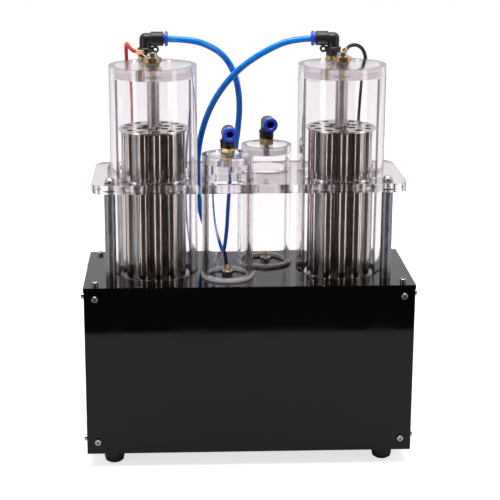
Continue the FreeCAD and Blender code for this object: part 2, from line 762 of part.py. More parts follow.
def stem():
    """Brass stem: thread below, hexagon, and the spigot that the black body turns on."""
    upper = "(seal_thickness + stem_hex_height)"
    hexagonal = hex_head("stem_hex_across", "stem_hex_height", "seal_thickness")
    thread = rod("stud_diameter", "stem_thread_length + seal_thickness + 0.5", "-stem_thread_length")
    spigot = rod("spigot_diameter", f"{upper} + spigot_length - seal_thickness - 0.5", "seal_thickness + 0.5")
    bore = rod("stem_bore", f"stem_thread_length + {upper} + spigot_length", "-stem_thread_length")
    return cut(joined(hexagonal, thread, spigot), bore)


def elbow_body():
    """Black moulded body: foot barrel, waist, upright, socket barrel and a drilled ear under the socket."""
    waist = f"({FITTING_FOOT} + barrel_foot_height)"
    neck = f"({waist} + waist_height)"
    crown = doc.addObject("Part::Sphere", "Crown")
    drive(crown, Radius="upright_diameter / 2", Placement_Base_z="socket_level")
    lip = "0.7"
    socket = turned([("0", "socket_start"), (f"socket_diameter / 2 - {lip}", "socket_start"),
                     ("socket_diameter / 2", f"socket_start + {lip}"),
                     ("socket_diameter / 2", f"socket_end - {lip}"),
                     (f"socket_diameter / 2 - {lip}", "socket_end"), ("0", "socket_end")])
    socket.Placement = Placement(Vector(0, 0, 0), Rotation(Vector(0, 1, 0), 90))
    drive(socket, Placement_Base_z="socket_level")
    rim = "waist_diameter / 2"
    belt = turned([("0", waist), (f"{rim} - {lip}", waist), (rim, f"{waist} + {lip}"),
                   (rim, f"{neck} - {lip}"), (f"{rim} - {lip}", neck), ("0", neck)])
    foot = rod("barrel_foot_diameter", f"barrel_foot_height + {lip}", FITTING_FOOT)
    upright = rod("upright_diameter", f"socket_level - {waist}", waist)
    arm = cross_rod("upright_diameter", "0", "socket_start + 1", "socket_level")
    ear = doc.addObject("Part::Cylinder", "Ear")
    ear.Placement = Placement(Vector(0, 0, 0), Rotation(Vector(1, 0, 0), 90))
    drive(ear, Radius="ear_diameter / 2", Height="ear_thickness", Placement_Base_x="ear_reach",
          Placement_Base_y="ear_thickness / 2", Placement_Base_z="socket_level - ear_drop")
    web = block("ear_reach", "ear_thickness * 0.7", "ear_diameter * 0.7", "ear_reach / 2", "0",
                "socket_level - ear_drop - ear_diameter * 0.35")
    solid = joined(foot, belt, upright, crown, arm, socket, ear, web)

    hole = doc.addObject("Part::Cylinder", "EarHole")
    hole.Placement = Placement(Vector(0, 0, 0), Rotation(Vector(1, 0, 0), 90))
    drive(hole, Radius="ear_hole / 2", Height="ear_thickness * 2", Placement_Base_x="ear_reach",
          Placement_Base_y="ear_thickness", Placement_Base_z="socket_level - ear_drop")
    sleeve_room = "(socket_end - sleeve_length - collar_travel - stop_gap)"
    return cut(solid, hole,
               rod("spigot_diameter + 2 * running_gap", "spigot_length + stop_gap", FITTING_FOOT),
               rod("elbow_bore", f"socket_level - {FITTING_FOOT}", FITTING_FOOT),
               cross_rod("elbow_bore", "0", "hose_seat_depth", "socket_level"),
               cross_rod("collar_bore", "hose_seat_depth", "socket_end", "socket_level"),
               cross_rod("sleeve_diameter + 2 * running_gap", sleeve_room, "socket_end", "socket_level"))


def release_collar():
    """Blue release collar, turned about the socket's axis and then laid along X."""
    gap = "(collar_travel + stop_gap)"
    face = f"(socket_end + {gap} + collar_flange)"
    back = f"(socket_end + {gap})"
    collar = turned([("collar_bore / 2", "socket_end - sleeve_length"),
                     ("sleeve_diameter / 2", "socket_end - sleeve_length"), ("sleeve_diameter / 2", back),
                     ("collar_diameter / 2", back), ("collar_diameter / 2", f"{face} - 0.8"),
                     ("collar_diameter / 2 - 0.8", face), ("collar_bore / 2 + 0.8", face),
                     ("collar_bore / 2", f"{face} - 0.8")])
    collar.Placement = Placement(Vector(0, 0, 0), Rotation(Vector(0, 1, 0), 90))
    drive(collar, Placement_Base_z="socket_level")
    laid = doc.addObject("Part::Compound", "LaidCollar")
    laid.Links = [collar]
    return laid


def fittings():
    """Six identical elbows: on the two chamber lids, on the two column lids and on the back panel."""
    lid_y = "elbow_offset_y"
    left_x, right_x = f"(-{CHAMBER_X} - elbow_offset_x)", f"({CHAMBER_X} - elbow_offset_x)"
    spots = {
        "left_outlet": (left_x, lid_y, CHAMBER_TOP, (Vector(0, 0, 1), "0")),
        "right_outlet": (right_x, lid_y, CHAMBER_TOP, (Vector(0, 0, 1), "180")),
        "front_bubbler": ("-column_offset_x", "-column_offset_y", COLUMN_TOP,
                          (Vector(0, 0, 1), "front_socket_turn")),
        "rear_bubbler": ("column_offset_x", "column_offset_y", COLUMN_TOP,
                         (Vector(0, 0, 1), "rear_socket_turn")),
        "left_rear": ("left_port_x", FACE_Y, "port_level", SOCKET_UP),
        "right_rear": ("right_port_x", FACE_Y, "port_level", SOCKET_UP),
    }
    node("fitting_stems", stem(), list(spots.values()))
    seals = list(spots.values()) + [(f"{a}{CHAMBER_X}", "0", CHAMBER_TOP) for _, a in SIDES]
    node("seal_washers", washer("seal_diameter", "stud_bore", "seal_thickness"), seals)
    body, collar = elbow_body(), release_collar()
    for name in ("left_outlet", "right_outlet", "front_bubbler", "rear_bubbler"):
        node(f"{name}_elbow", body, [spots[name]])
    node("rear_elbows", body, [spots["left_rear"], spots["right_rear"]])
    for name, spot in spots.items():
        node(f"{name}_collar", collar, [spot])


# Bubbling columns

def columns():
    """Two clear columns that stand on frosted rings and take the gas in through the top plate."""
    bore = "(column_diameter - 2 * column_wall)"
    height = "(column_height - ring_thickness)"
    tube = washer("column_diameter", bore, height)
    lid = sheet_disc(f"{bore} - 2 * glue_gap", "column_lid", [("0", "0", "stud_bore")])
    ring = washer("ring_diameter", f"({bore} - 2 * ring_lip)", "ring_thickness")
    both = [("-column_offset_x", "-column_offset_y"), ("column_offset_x", "column_offset_y")]
    for name, (x, y) in zip(("front", "rear"), both):
        node(f"{name}_bubbler_tube", tube, [(x, y, f"{TOP} + ring_thickness")])
    node("bubbler_lids", lid, [(x, y, f"{COLUMN_TOP} - column_lid") for x, y in both])
    node("bubbler_base_rings", ring, [(x, y, TOP) for x, y in both])

    thread, below = "inlet_diameter / 2", "(-sheet - inlet_collar_thickness)"
    foot, flange = "-sheet - inlet_drop", "inlet_collar_diameter / 2"
    inlet = turned([("inlet_bore / 2", foot), (f"{thread} - 0.5", foot), (thread, f"{foot} + 1"),
                    (thread, below), (flange, below), (flange, "-sheet"), (thread, "-sheet"),
                    (thread, "inlet_rise - 0.6"), (f"{thread} - 0.6", "inlet_rise"),
                    ("inlet_bore / 2", "inlet_rise")])
    slot = block("inlet_diameter * 1.2", "0.9", "2", z="inlet_rise - 1.6")
    nut = hex_nut("inlet_nut_across", "inlet_nut_height", "inlet_diameter + 2 * glue_gap")
    node("bubbler_inlets", cut(inlet, slot), [(x, y, TOP) for x, y in both])
    node("bubbler_inlet_nuts", nut, [(x, y, TOP) for x, y in both])


# Support plate

def support():
    """A clear plate on four posts that steadies the four tubes."""
    rounds = [(f"{a}{CHAMBER_X}", "0", "(chamber_diameter + 2 * support_gap)") for _, a in SIDES]
    rounds += [(f"{a}column_offset_x", f"{a}column_offset_y", "(column_diameter + 2 * support_gap)")
               for _, a in SIDES]
    rounds += [(f"{a}{POST_X}", f"{b}{POST_Y}", "bolt_hole") for a, b in CORNERS]
    plate = sheet_piece(SUPPORT_WIDTH, "support_depth", "support_thickness", rounds, "support_corner")
    node("support_plate", plate, [("0", "0", f"{SUPPORT_TOP} - support_thickness")])
    posts = [(f"{a}{POST_X}", f"{b}{POST_Y}") for a, b in CORNERS]
    height = "(support_level - support_thickness)"
    post = cut(rod("post_diameter", height), rod("bolt_hole", "post_thread_depth"),
               rod("bolt_hole", "post_thread_depth", f"{height} - post_thread_depth"))
    node("support_posts", post, [(x, y, TOP) for x, y in posts])
    node("support_washers", washer("washer_diameter", "bolt_hole", "washer_thickness"),
         [(x, y, SUPPORT_TOP) for x, y in posts])
    head, shank = "dome_diameter / 2", "bolt_shank_diameter / 2"
    tip = "-support_thickness - support_bolt_reach"
    dome = turned([("0", tip), (shank, tip), (shank, "0"), (head, "0"), (head, "dome_height * 0.3"),
                   (f"{head} * 0.85", "dome_height * 0.75"), (f"{head} * 0.55", "dome_height"),
                   ("0", "dome_height")])
    bolt = cut(dome, hexagon("dome_key", "dome_height", "dome_height * 0.35"))
    node("support_bolts", bolt, [(x, y, f"{SUPPORT_TOP} + washer_thickness") for x, y in posts])


# Power and plumbing in the case

def grommets():
    """Rubber grommets that pass the two leads through the top plate."""
    bore, neck, lip = "(lead_diameter / 2 + glue_gap)", "(grommet_neck / 2)", "grommet_diameter / 2"
    grommet = turned([(bore, "-sheet - grommet_lip"), (lip, "-sheet - grommet_lip"), (lip, "-sheet"),
                      (neck, "-sheet"), (neck, "0"), (lip, "0"), (lip, "grommet_lip * 0.5"),
                      (f"{lip} - 1", "grommet_lip"), (bore, "grommet_lip")])
    node("lead_grommets", grommet, [(f"{a}grommet_x", "grommet_y", TOP) for _, a in SIDES])


def power_inlet():
    """A mains inlet with its rocker switch above it, set into the back panel. It looks along +Y."""
    rim = block("power_inlet_width", "power_inlet_rim", "power_inlet_height", "0",
                "power_inlet_rim / 2", "-power_inlet_height / 2")
    body = block("power_body_width", "power_body_depth", "power_body_height", "0",
                 "-power_body_depth / 2", "-power_body_height / 2")
    socket_z = "(-power_body_height / 4 - 1)"
    cavity = block("power_socket_width", "power_socket_depth", "power_socket_height", "0",
                   "power_inlet_rim - power_socket_depth / 2", f"{socket_z} - power_socket_height / 2")
    corners = []
    for a in ("-", ""):
        wedge = block("6", "power_socket_depth", "6")
        wedge.Placement = Placement(Vector(0, 0, 0), Rotation(Vector(0, 1, 0), 45))
        drive(wedge, Placement_Base_x=f"{a}power_socket_width / 2 - 3 / cos(45)",
              Placement_Base_y="power_inlet_rim - power_socket_depth",
              Placement_Base_z=f"{socket_z} + power_socket_height / 2")
        corners.append(wedge)
    window = block("rocker_width + 2 * rocker_gap", "rocker_thickness + 2",
                   "rocker_height + 2 * rocker_gap", "0", "power_inlet_rim - (rocker_thickness + 2) / 2",
                   "power_body_height / 4 + 1 - rocker_height / 2 - rocker_gap")
    shell = cut(joined(rim, body), cut(cavity, *corners), window)
    node("power_inlet", shell, [(POWER_X, FACE_Y, "power_inlet_level")])
    pins = []
    floor_y = f"({FACE_Y} + power_inlet_rim - power_socket_depth)"
    pin = block("pin_width", "pin_length", "pin_height", "0", "pin_length / 2", "-pin_height / 2")
    for x, z in (("-pin_pitch", "-1.5"), ("0", "2.5"), ("pin_pitch", "-1.5")):
        pins.append((f"{POWER_X} + {x}", floor_y, f"power_inlet_level + {socket_z} + {z}"))
    node("inlet_pins", pin, pins)


def rocker():
    """The rocker: a shallow vee that pivots on the middle of its window, stored leaning one way."""
    body = doc.addObject("PartDesign::Body", "Rocker")
    sketch = sketch_in(body, "YZ_Plane")
    half, deep = "rocker_height / 2", "-rocker_thickness * 0.45"
    draw_polygon(sketch, [("rocker_proud * 0.35", "0"), ("rocker_proud", half), ("-1", half),
                          (deep, f"{half} - 0.8"), (f"{deep} - 1.5", "0"), (deep, f"-{half} + 0.8"),
                          ("-1", f"-{half}"), ("rocker_proud", f"-{half}")])
    pad = body.newObject("PartDesign::Pad", "Pad")
    pad.Profile = sketch
    pad.Midplane = True
    drive(pad, Length="rocker_width")
    middle = "power_inlet_level + power_body_height / 4 + 1"
    node("rocker_switch", body, [(POWER_X, f"{FACE_Y} + power_inlet_rim", middle,
                                  (Vector(1, 0, 0), "-rocker_lean"))])


def power_supply():
    """A mains to low voltage supply on the base panel, with its terminal strip at the right-hand end."""
    case = block("supply_width", "supply_depth", "supply_height")
    notch = block("strip_width", "supply_depth - 8", "supply_height", "supply_width / 2 - strip_width / 2",
                  "0", "strip_height")
    node("power_supply", cut(case, notch), [("0", "0", f"{BASE} + sheet")])


def link_pipe():
    """The pipe under the top plate that lets the liquid in the two chambers stand level."""
    x, y, top = amount(CHAMBER_X), amount(MIDDLE), amount(f"{UNDER_TOP} - flange_thickness + link_seat")
    low = top - SIZES["link_drop"] - SIZES["link_seat"]
    bend = SIZES["link_diameter"] * 1.5
    turn = bend * math.tan(math.radians(22.5))
    route = [(-x, y, top), (-x, y, low + turn), (-x + turn, y, low), (0, y, low - 2), (x - turn, y, low),
             (x, y, low + turn), (x, y, top)]
    bent_node("link_pipe", [route], SIZES["link_diameter"], SIZES["link_bore"])


# Routes of the hoses, leads and wires, as points in millimetres in the part's frame. The two gas hoses
# leave the chamber elbows, arch over the columns and drop behind the case into the rear elbows.

LEFT_HOSE = [(-86.2, 2.35, 388.0), (-57, 2.35, 388.0), (-36, 9, 382), (-19, 19.5, 369.5), (-8.5, 29, 349),
             (-4.5, 36.5, 323), (-6, 42, 297), (-9.5, 46, 271), (-12.5, 49.5, 244), (-15, 52.5, 217),
             (-17, 55, 190), (-23.5, 59, 162), (-38.0, 67.45, 134), (-38.0, 67.45, 104.5)]
RIGHT_HOSE = [(72.8, 2.35, 388.0), (43.5, 2.35, 388.0), (20, 4, 378), (-4, 9, 362), (-23, 17, 340),
              (-36, 27, 314), (-43, 37, 287), (-45.5, 46, 260), (-45, 54, 233), (-41.5, 61, 206),
              (-32, 67, 181), (-16.5, 70.5, 158), (-2.0, 67.45, 133.5), (-2.0, 67.45, 104.5)]
RED_LEAD = [(-94.99, -9.02, 377.32), (-102.41, -6.02, 377.32), (-107.2, -1.6, 380.8), (-109.6, 5.8, 383.6),
            (-110.6, 14, 381.6), (-110.9, 20.8, 375.2), (-110.8, 25.8, 365), (-110.3, 29.8, 351),
            (-110, 33.5, 334), (-110.2, 37.4, 313), (-110.7, 41, 290), (-111.2, 42.8, 266),
            (-111.5, 42.3, 242), (-111.6, 39.6, 218), (-111.5, 36.35, 195), (-111.5, 36.35, 172)]
BLACK_LEAD = [(89, -3.42, 377.32), (91.56, 4.47, 377.32), (95.8, 11.6, 379.8), (102.2, 17.2, 379.9),
              (108.6, 22.6, 376.2), (112.6, 27, 368.6), (113.6, 30, 357), (113, 32.8, 342.5),
              (112.2, 36.6, 324), (111.6, 40, 302), (111.2, 42.6, 278), (111.3, 43.2, 253),
              (111.6, 41, 226), (111.5, 36.35, 198), (111.5, 36.35, 172)]


def reach(route, start, end):
    """The route with its two end runs carried to their fittings, and any shift shared out between."""
    first, last = Vector(*route[0]), Vector(*route[-1])
    points = []
    for index, point in enumerate(route):
        share = min(max((index - 1) / (len(route) - 3), 0.0), 1.0)
        shift = (Vector(*start) - first) * (1 - share) + (Vector(*end) - last) * share
        points.append(tuple(Vector(*point) + shift))
    return points


def outlet_seat(side):
    """Where a hose ends inside the elbow on a chamber's lid, which looks towards the other chamber."""
    return (side * amount(CHAMBER_X) - SIZES["elbow_offset_x"] - side * SIZES["hose_seat_depth"],
            amount(f"elbow_offset_y + {MIDDLE}"), amount(f"{CHAMBER_TOP} + socket_level"))


def rear_seat(port):
    """Where a hose ends inside an elbow on the back of the case."""
    depth = amount(f"{FACE_Y} + {MIDDLE} + socket_level")
    return (SIZES[port], depth, amount("port_level + hose_seat_depth"))


def barrel_seat(side, turn):
    """Where a lead ends inside the barrel of its lug."""
    out, angle = SIZES["lug_reach"] + SIZES["barrel_seat"], math.radians(SIZES[turn])
    return (side * amount(CHAMBER_X) + out * math.cos(angle), amount(MIDDLE) + out * math.sin(angle),
            amount(f"{NUT_TOP} + {BARREL_LEVEL}"))


def grommet_middle(side):
    """Where an outer lead and an inner one meet, halfway through the top plate."""
    return side * SIZES["grommet_x"], amount(f"grommet_y + {MIDDLE}"), amount(f"{TOP} - sheet / 2")


def hoses_and_leads():
    """The free hoses and leads, each in one length between its two ends."""
    hose, lead = SIZES["hose_diameter"], SIZES["lead_diameter"]
    bent_node("left_gas_hose", [reach(LEFT_HOSE, outlet_seat(-1), rear_seat("left_port_x"))], hose)
    bent_node("right_gas_hose", [reach(RIGHT_HOSE, outlet_seat(1), rear_seat("right_port_x"))], hose)
    bent_node("red_lead", [reach(RED_LEAD, barrel_seat(-1, "left_lug_turn"), grommet_middle(-1))], lead)
    bent_node("black_lead", [reach(BLACK_LEAD, barrel_seat(1, "right_lug_turn"), grommet_middle(1))], lead)


def inner_lines():
    """Hoses from the rear elbows to the columns, and the wires of the supply, inside the case."""
    tail = amount(f"{FACE_Y} + {MIDDLE} - stem_thread_length")
    inlet_z = amount(f"{TOP} - sheet - inlet_drop")
    front_x, front_y = -SIZES["column_offset_x"], amount(f"-column_offset_y + {MIDDLE}")
    rear_x, rear_y = SIZES["column_offset_x"], amount(f"column_offset_y + {MIDDLE}")
    left_x, right_x, level = SIZES["left_port_x"], SIZES["right_port_x"], SIZES["port_level"]
    front_route = [(left_x, tail, level), (left_x, 20.2, level), (-35.2, 2.1, 99.8), (-29.9, -15.3, 107.1),
                   (-23.4, -28.1, 120.4), (front_x, front_y, 138.3), (front_x, front_y, inlet_z)]
    rear_route = [(right_x, tail, level), (right_x, 20.3, level), (3.9, 7.9, 103.2), (12, 1.7, 113.7),
                  (17.9, 2.6, 127.3), (rear_x, rear_y, 144.7), (rear_x, rear_y, inlet_z)]
    bent_node("inner_hoses", [front_route, rear_route], SIZES["hose_diameter"])

    grommet_x, grommet_y, meeting = grommet_middle(1)
    strip_x = amount("supply_width / 2 - strip_width / 2")
    strip_z = amount(f"{BASE} + sheet + strip_height")
    red = [(-grommet_x, grommet_y, meeting), (-grommet_x, grommet_y, 146), (-108, 35, 122), (-98, 31, 100),
           (-82, 27, 82), (-60, 24, 70), (-33, 22, 64.5), (-5, 20.5, 63), (23, 19, 64.5), (48, 16.5, 70),
           (70, 13.5, 73), (85, 11, 70), (strip_x, 10, 58), (strip_x, 10, strip_z)]
    black = [(grommet_x, grommet_y, meeting), (grommet_x, grommet_y, 150), (113.5, 30, 128), (114.5, 21, 107),
             (112, 14, 86), (104, 6, 70), (strip_x, -3, 58), (strip_x, -3, strip_z)]
    bent_node("inner_leads", [red, black], SIZES["lead_diameter"])

    back = amount(f"{FACE_Y} + {MIDDLE} - power_body_depth")
    pins_x, pins_z = amount(POWER_X), amount("power_inlet_level - power_body_height / 4 - 1")
    behind = back - SIZES["wire_tail"]
    mains = []
    for side, rise, end in ((-1, -1.5, -16), (0, 2.5, -27), (1, -1.5, -38)):
        x, z = pins_x + side * SIZES["pin_pitch"], pins_z + rise
        mains.append([(x, back, z), (x, behind, z), ((x + strip_x) / 2, (behind + end) / 2, z - 5),
                      (strip_x, end, strip_z + SIZES["wire_drop"]), (strip_x, end, strip_z)])
    bent_node("mains_wires", mains, SIZES["wire_diameter"])


case_panels()
corner_blocks()
panel_screws()
feet()
pan_screws()
chambers()
electrodes()
centre_pipes()
terminals()
fittings()
columns()
support()
grommets()
power_inlet()
rocker()
power_supply()
link_pipe()
hoses_and_leads()
inner_lines()
doc.recompute()


def check_and_write():
    """Refuses to write anything while an object has failed or a sub-part is not a sound solid."""
    failed = [thing.Name for thing in doc.Objects if {"Invalid", "Error"} & set(thing.State)]
    assert not failed, f"failed objects: {failed}"
    for part in NODES:
        assert not part.Shape.isNull() and part.Shape.isValid(), f"{part.Label} is not sound"
        assert part.Shape.Solids, f"{part.Label} has no solid"
    os.makedirs("parts", exist_ok=True)
    for part in NODES:
        part.Shape.exportStep(f"parts/{part.Label}.step")
    print(len(NODES), "sub-parts,", sum(len(part.Shape.Solids) for part in NODES), "solids")


check_and_write()
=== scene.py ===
# %% [markdown]
# # A bench-top water electrolysis set
#
# Two clear chambers with bundles of steel electrode tubes stand on a glossy black case, beside two
# small bubbling columns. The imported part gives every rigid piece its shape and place. This file adds
# the four free hoses and leads, gives every piece its finish, and sets up the camera and the light.
# Lengths are in metres and angles in radians. +Z is up, and the front of the case looks towards -Y.

# %% Load the fixed part
import math

import bmesh
import bpy
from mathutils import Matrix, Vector


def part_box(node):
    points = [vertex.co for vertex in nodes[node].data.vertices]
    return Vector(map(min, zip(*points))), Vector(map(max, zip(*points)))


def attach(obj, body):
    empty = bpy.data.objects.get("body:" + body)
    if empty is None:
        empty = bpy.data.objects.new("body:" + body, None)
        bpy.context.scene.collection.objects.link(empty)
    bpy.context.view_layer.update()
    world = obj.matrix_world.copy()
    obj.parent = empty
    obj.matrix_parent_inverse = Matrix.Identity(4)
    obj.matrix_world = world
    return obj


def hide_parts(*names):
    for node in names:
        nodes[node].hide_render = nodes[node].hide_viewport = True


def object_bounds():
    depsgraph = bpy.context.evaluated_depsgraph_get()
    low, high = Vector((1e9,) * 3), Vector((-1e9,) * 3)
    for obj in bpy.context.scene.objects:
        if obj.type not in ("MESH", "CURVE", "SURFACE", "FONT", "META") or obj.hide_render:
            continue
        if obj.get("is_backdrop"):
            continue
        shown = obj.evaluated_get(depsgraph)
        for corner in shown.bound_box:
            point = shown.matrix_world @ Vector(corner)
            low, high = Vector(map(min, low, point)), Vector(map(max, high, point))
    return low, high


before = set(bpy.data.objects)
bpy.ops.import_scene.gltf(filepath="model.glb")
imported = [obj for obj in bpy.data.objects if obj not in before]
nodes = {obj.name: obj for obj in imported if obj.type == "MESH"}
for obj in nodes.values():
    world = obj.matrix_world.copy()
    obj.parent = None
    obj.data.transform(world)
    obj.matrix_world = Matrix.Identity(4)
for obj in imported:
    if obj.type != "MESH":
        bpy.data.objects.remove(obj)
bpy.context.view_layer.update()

# %% [markdown]
# The set is seen from a little to the left and from above, and its upright edges look almost parallel.
# A level camera with a large shift of the frame would give that, but a large shift pushes the set out
# of the frame in every other view. A long lens from further away comes close with a small shift.

# %% Camera
CAMERA_PLACE = Vector((-0.0646, -1.2325, 0.5444))
LOOK_DOWN = 0.2445
LOOK_RIGHT = 0.0361
FOCAL_LENGTH_MM = 97.6
SENSOR_WIDTH_MM = 36
FRAME_SHIFT = (0.05, -0.1)

camera = bpy.data.objects.new("camera", bpy.data.cameras.new("camera"))
bpy.context.scene.collection.objects.link(camera)
camera.data.lens = FOCAL_LENGTH_MM
camera.data.sensor_width = SENSOR_WIDTH_MM
camera.data.shift_x = FRAME_SHIFT[0]
camera.data.shift_y = FRAME_SHIFT[1]
camera.location = CAMERA_PLACE
heading = Vector((math.sin(LOOK_RIGHT) * math.cos(LOOK_DOWN),
                  math.cos(LOOK_RIGHT) * math.cos(LOOK_DOWN),
                  -math.sin(LOOK_DOWN)))
camera.rotation_mode = "QUATERNION"
camera.rotation_quaternion = heading.to_track_quat("-Z", "Y")
bpy.context.scene.camera = camera
print("camera:", tuple(round(v, 3) for v in camera.location), "lens", camera.data.lens)

# %% [markdown]
# The gas hoses are soft blue plastic, and the leads are wire in smooth insulation. Each follows the
# same route as its solid in the part. The left hose passes behind the right one where they cross, and
# both drop behind the case into the elbows on its back. The leads rise from the lugs on the lids, turn
# over the rims and go down into the grommets. A simulation could let them hang, but it would hardly
# find the bends that the real ones hold, so each route is written down as points.

# %% Routes of the hoses and leads
ROUTES = {
    "left_gas_hose": [
        (-0.0862, 0.00235, 0.3880), (-0.0570, 0.00235, 0.3880), (-0.0360, 0.0090, 0.3820),
        (-0.0190, 0.0195, 0.3695), (-0.0085, 0.0290, 0.3490), (-0.0045, 0.0365, 0.3230),
        (-0.0060, 0.0420, 0.2970), (-0.0095, 0.0460, 0.2710), (-0.0125, 0.0495, 0.2440),
        (-0.0150, 0.0525, 0.2170), (-0.0170, 0.0550, 0.1900), (-0.0235, 0.0590, 0.1620),
        (-0.0380, 0.06745, 0.1340), (-0.0380, 0.06745, 0.1045)],
    "right_gas_hose": [
        (0.0728, 0.00235, 0.3880), (0.0435, 0.00235, 0.3880), (0.0200, 0.0040, 0.3780),
        (-0.0040, 0.0090, 0.3620), (-0.0230, 0.0170, 0.3400), (-0.0360, 0.0270, 0.3140),
        (-0.0430, 0.0370, 0.2870), (-0.0455, 0.0460, 0.2600), (-0.0450, 0.0540, 0.2330),
        (-0.0415, 0.0610, 0.2060), (-0.0320, 0.0670, 0.1810), (-0.0165, 0.0705, 0.1580),
        (-0.0020, 0.06745, 0.1335), (-0.0020, 0.06745, 0.1045)],
    "red_lead": [
        (-0.09499, -0.00902, 0.37732), (-0.10241, -0.00602, 0.37732), (-0.1072, -0.0016, 0.3808),
        (-0.1096, 0.0058, 0.3836), (-0.1106, 0.0140, 0.3816), (-0.1109, 0.0208, 0.3752),
        (-0.1108, 0.0258, 0.3650), (-0.1103, 0.0298, 0.3510), (-0.1100, 0.0335, 0.3340),
        (-0.1102, 0.0374, 0.3130), (-0.1107, 0.0410, 0.2900), (-0.1112, 0.0428, 0.2660),
        (-0.1115, 0.0423, 0.2420), (-0.1116, 0.0396, 0.2180), (-0.1115, 0.03635, 0.1950),
        (-0.1115, 0.03635, 0.1720)],
    "black_lead": [
        (0.0890, -0.00342, 0.37732), (0.09156, 0.00447, 0.37732), (0.0958, 0.0116, 0.3798),
        (0.1022, 0.0172, 0.3799), (0.1086, 0.0226, 0.3762), (0.1126, 0.0270, 0.3686),
        (0.1136, 0.0300, 0.3570), (0.1130, 0.0328, 0.3425), (0.1122, 0.0366, 0.3240),
        (0.1116, 0.0400, 0.3020), (0.1112, 0.0426, 0.2780), (0.1113, 0.0432, 0.2530),
        (0.1116, 0.0410, 0.2260), (0.1115, 0.03635, 0.1980), (0.1115, 0.03635, 0.1720)],
}
print("route points:", {name: len(points) for name, points in ROUTES.items()})

# %% [markdown]
# A hose or a lead bends evenly along its route. Straight pieces between the points would kink, and a
# line drawn through every point would swing a little. So the points only steer a NURBS line, which
# stays smooth and starts and ends exactly at the first and the last point.

# %% The line of a cord
BEND_ORDER = 3
STEPS_BETWEEN_POINTS = 10


def route_curve(name, points):
    """One smooth spline whose control points are the route's points, with no thickness yet."""
    data = bpy.data.curves.new(name, "CURVE")
    data.dimensions = "3D"
    spline = data.splines.new("NURBS")
    spline.points.add(len(points) - 1)
    for point, place in zip(spline.points, points):
        point.co = (*place, 1)
    spline.order_u = BEND_ORDER
    spline.use_endpoint_u = True
    spline.resolution_u = STEPS_BETWEEN_POINTS
    return bpy.data.objects.new(name, data)


# %% [markdown]
# Round that line goes a tube. It could stay a curve with a bevel, but a mesh made from that curve
# says exactly how far it reaches and keeps the shape that is shown. Each tube takes the place of its
# solid and rides on the case, which holds both of its ends.

# %% Hoses and leads
CORDS = {
    "left_gas_hose": (0.0060, 0.352, "medium", "blue_hose"),
    "right_gas_hose": (0.0060, 0.371, "medium", "blue_hose"),
    "red_lead": (0.0034, 0.247, "limp", "red_insulation"),
    "black_lead": (0.0034, 0.242, "limp", "black_insulation"),
}
STEPS_AROUND = 6


def tube_on(name, points, diameter):
    """A round tube along the route, as a mesh, and the line that it follows."""
    curve = route_curve(f"{name}_route", points)
    line = bpy.data.meshes.new_from_object(curve)
    path = [tuple(vertex.co) for vertex in line.vertices]
    curve.data.bevel_depth = diameter / 2
    curve.data.bevel_resolution = STEPS_AROUND
    tube = bpy.data.objects.new(f"{name}_shown", bpy.data.meshes.new_from_object(curve))
    bpy.context.scene.collection.objects.link(tube)
    bpy.data.meshes.remove(line)
    bpy.data.curves.remove(curve.data)
    return tube, path


shown_cords = {}
for name, (diameter, length, stiffness, finish) in CORDS.items():
    tube, path = tube_on(name, ROUTES[name], diameter)
    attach(tube, "case")
    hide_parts(name)
    shown_cords[name] = tube
print("cords:", sorted(shown_cords))

# %% [markdown]
# A finish is a material with one principled shader, which covers plastic, rubber, metal and clear
# pieces alike. More nodes can steer its sockets. Adding, setting and linking each node by hand takes
# many lines, so one helper does all three: it takes plain values and the outputs of other nodes. A
# finish's plain colour and roughness stay set under such links, for programs that can't follow them.


# %% Materials and nodes
def new_finish(name, color, roughness, **sockets):
    """A material with one principled shader, whose plain values stand where no node is fed in later."""
    material = bpy.data.materials.new(name)
    material.use_nodes = True
    shader = material.node_tree.nodes["Principled BSDF"]
    shader.inputs["Base Color"].default_value = (*color, 1)
    shader.inputs["Roughness"].default_value = roughness
    for socket, value in sockets.items():
        socket_name = socket.replace("_", " ")
        shader.inputs[socket_name].default_value = value
    return material


def add_node(owner, kind, inputs=()):
    """A node of a material or the world. Each input takes a plain value or another node's output."""
    node = owner.node_tree.nodes.new(kind)
    for socket, value in dict(inputs).items():
        if isinstance(value, bpy.types.NodeSocket):
            owner.node_tree.links.new(value, node.inputs[socket])
        else:
            node.inputs[socket].default_value = value
    return node


def feed(material, socket, value):
    """Joins another node's output to the principled shader."""
    material.node_tree.links.new(value, material.node_tree.nodes["Principled BSDF"].inputs[socket])


def dress(material, *names):
    """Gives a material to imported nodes."""
    for name in names:
        for slot in nodes[name].material_slots:
            slot.material = material
    print(material.name, "on", ", ".join(names))


# %% [markdown]
# Real sheet, tube and mouldings vary a little in gloss, in colour and in their surface. Painted
# textures could show that, but they need unwrapped pieces. Noise read from the object's own
# coordinates needs none and keeps its real size on every piece. Its values mostly lie near the
# middle, so a narrow span of them is spread over the range that a socket needs.

# %% Noise
NOISE_SPAN = (0.3, 0.7)


def object_place(material):
    """The place of a point in the object's own coordinates."""
    return add_node(material, "ShaderNodeTexCoord").outputs["Object"]


def object_noise(material, scale, stretch=(1, 1, 1), detail=4.0):
    """Noise in cells of 1/scale metres, drawn out along an axis whose stretch is below 1."""
    mapping = add_node(material, "ShaderNodeMapping", {
        "Vector": object_place(material), "Scale": [scale * value for value in stretch]})
    noise = add_node(material, "ShaderNodeTexNoise", {
        "Vector": mapping.outputs["Vector"], "Scale": 1.0, "Detail": detail})
    return noise.outputs["Fac"]


def ranged(owner, value, low, high, span=NOISE_SPAN):
    """A value's span spread from low to high, for a socket that takes one number."""
    spread = add_node(owner, "ShaderNodeMapRange", {
        "Value": value, "From Min": span[0], "From Max": span[1], "To Min": low, "To Max": high})
    return spread.outputs["Result"]


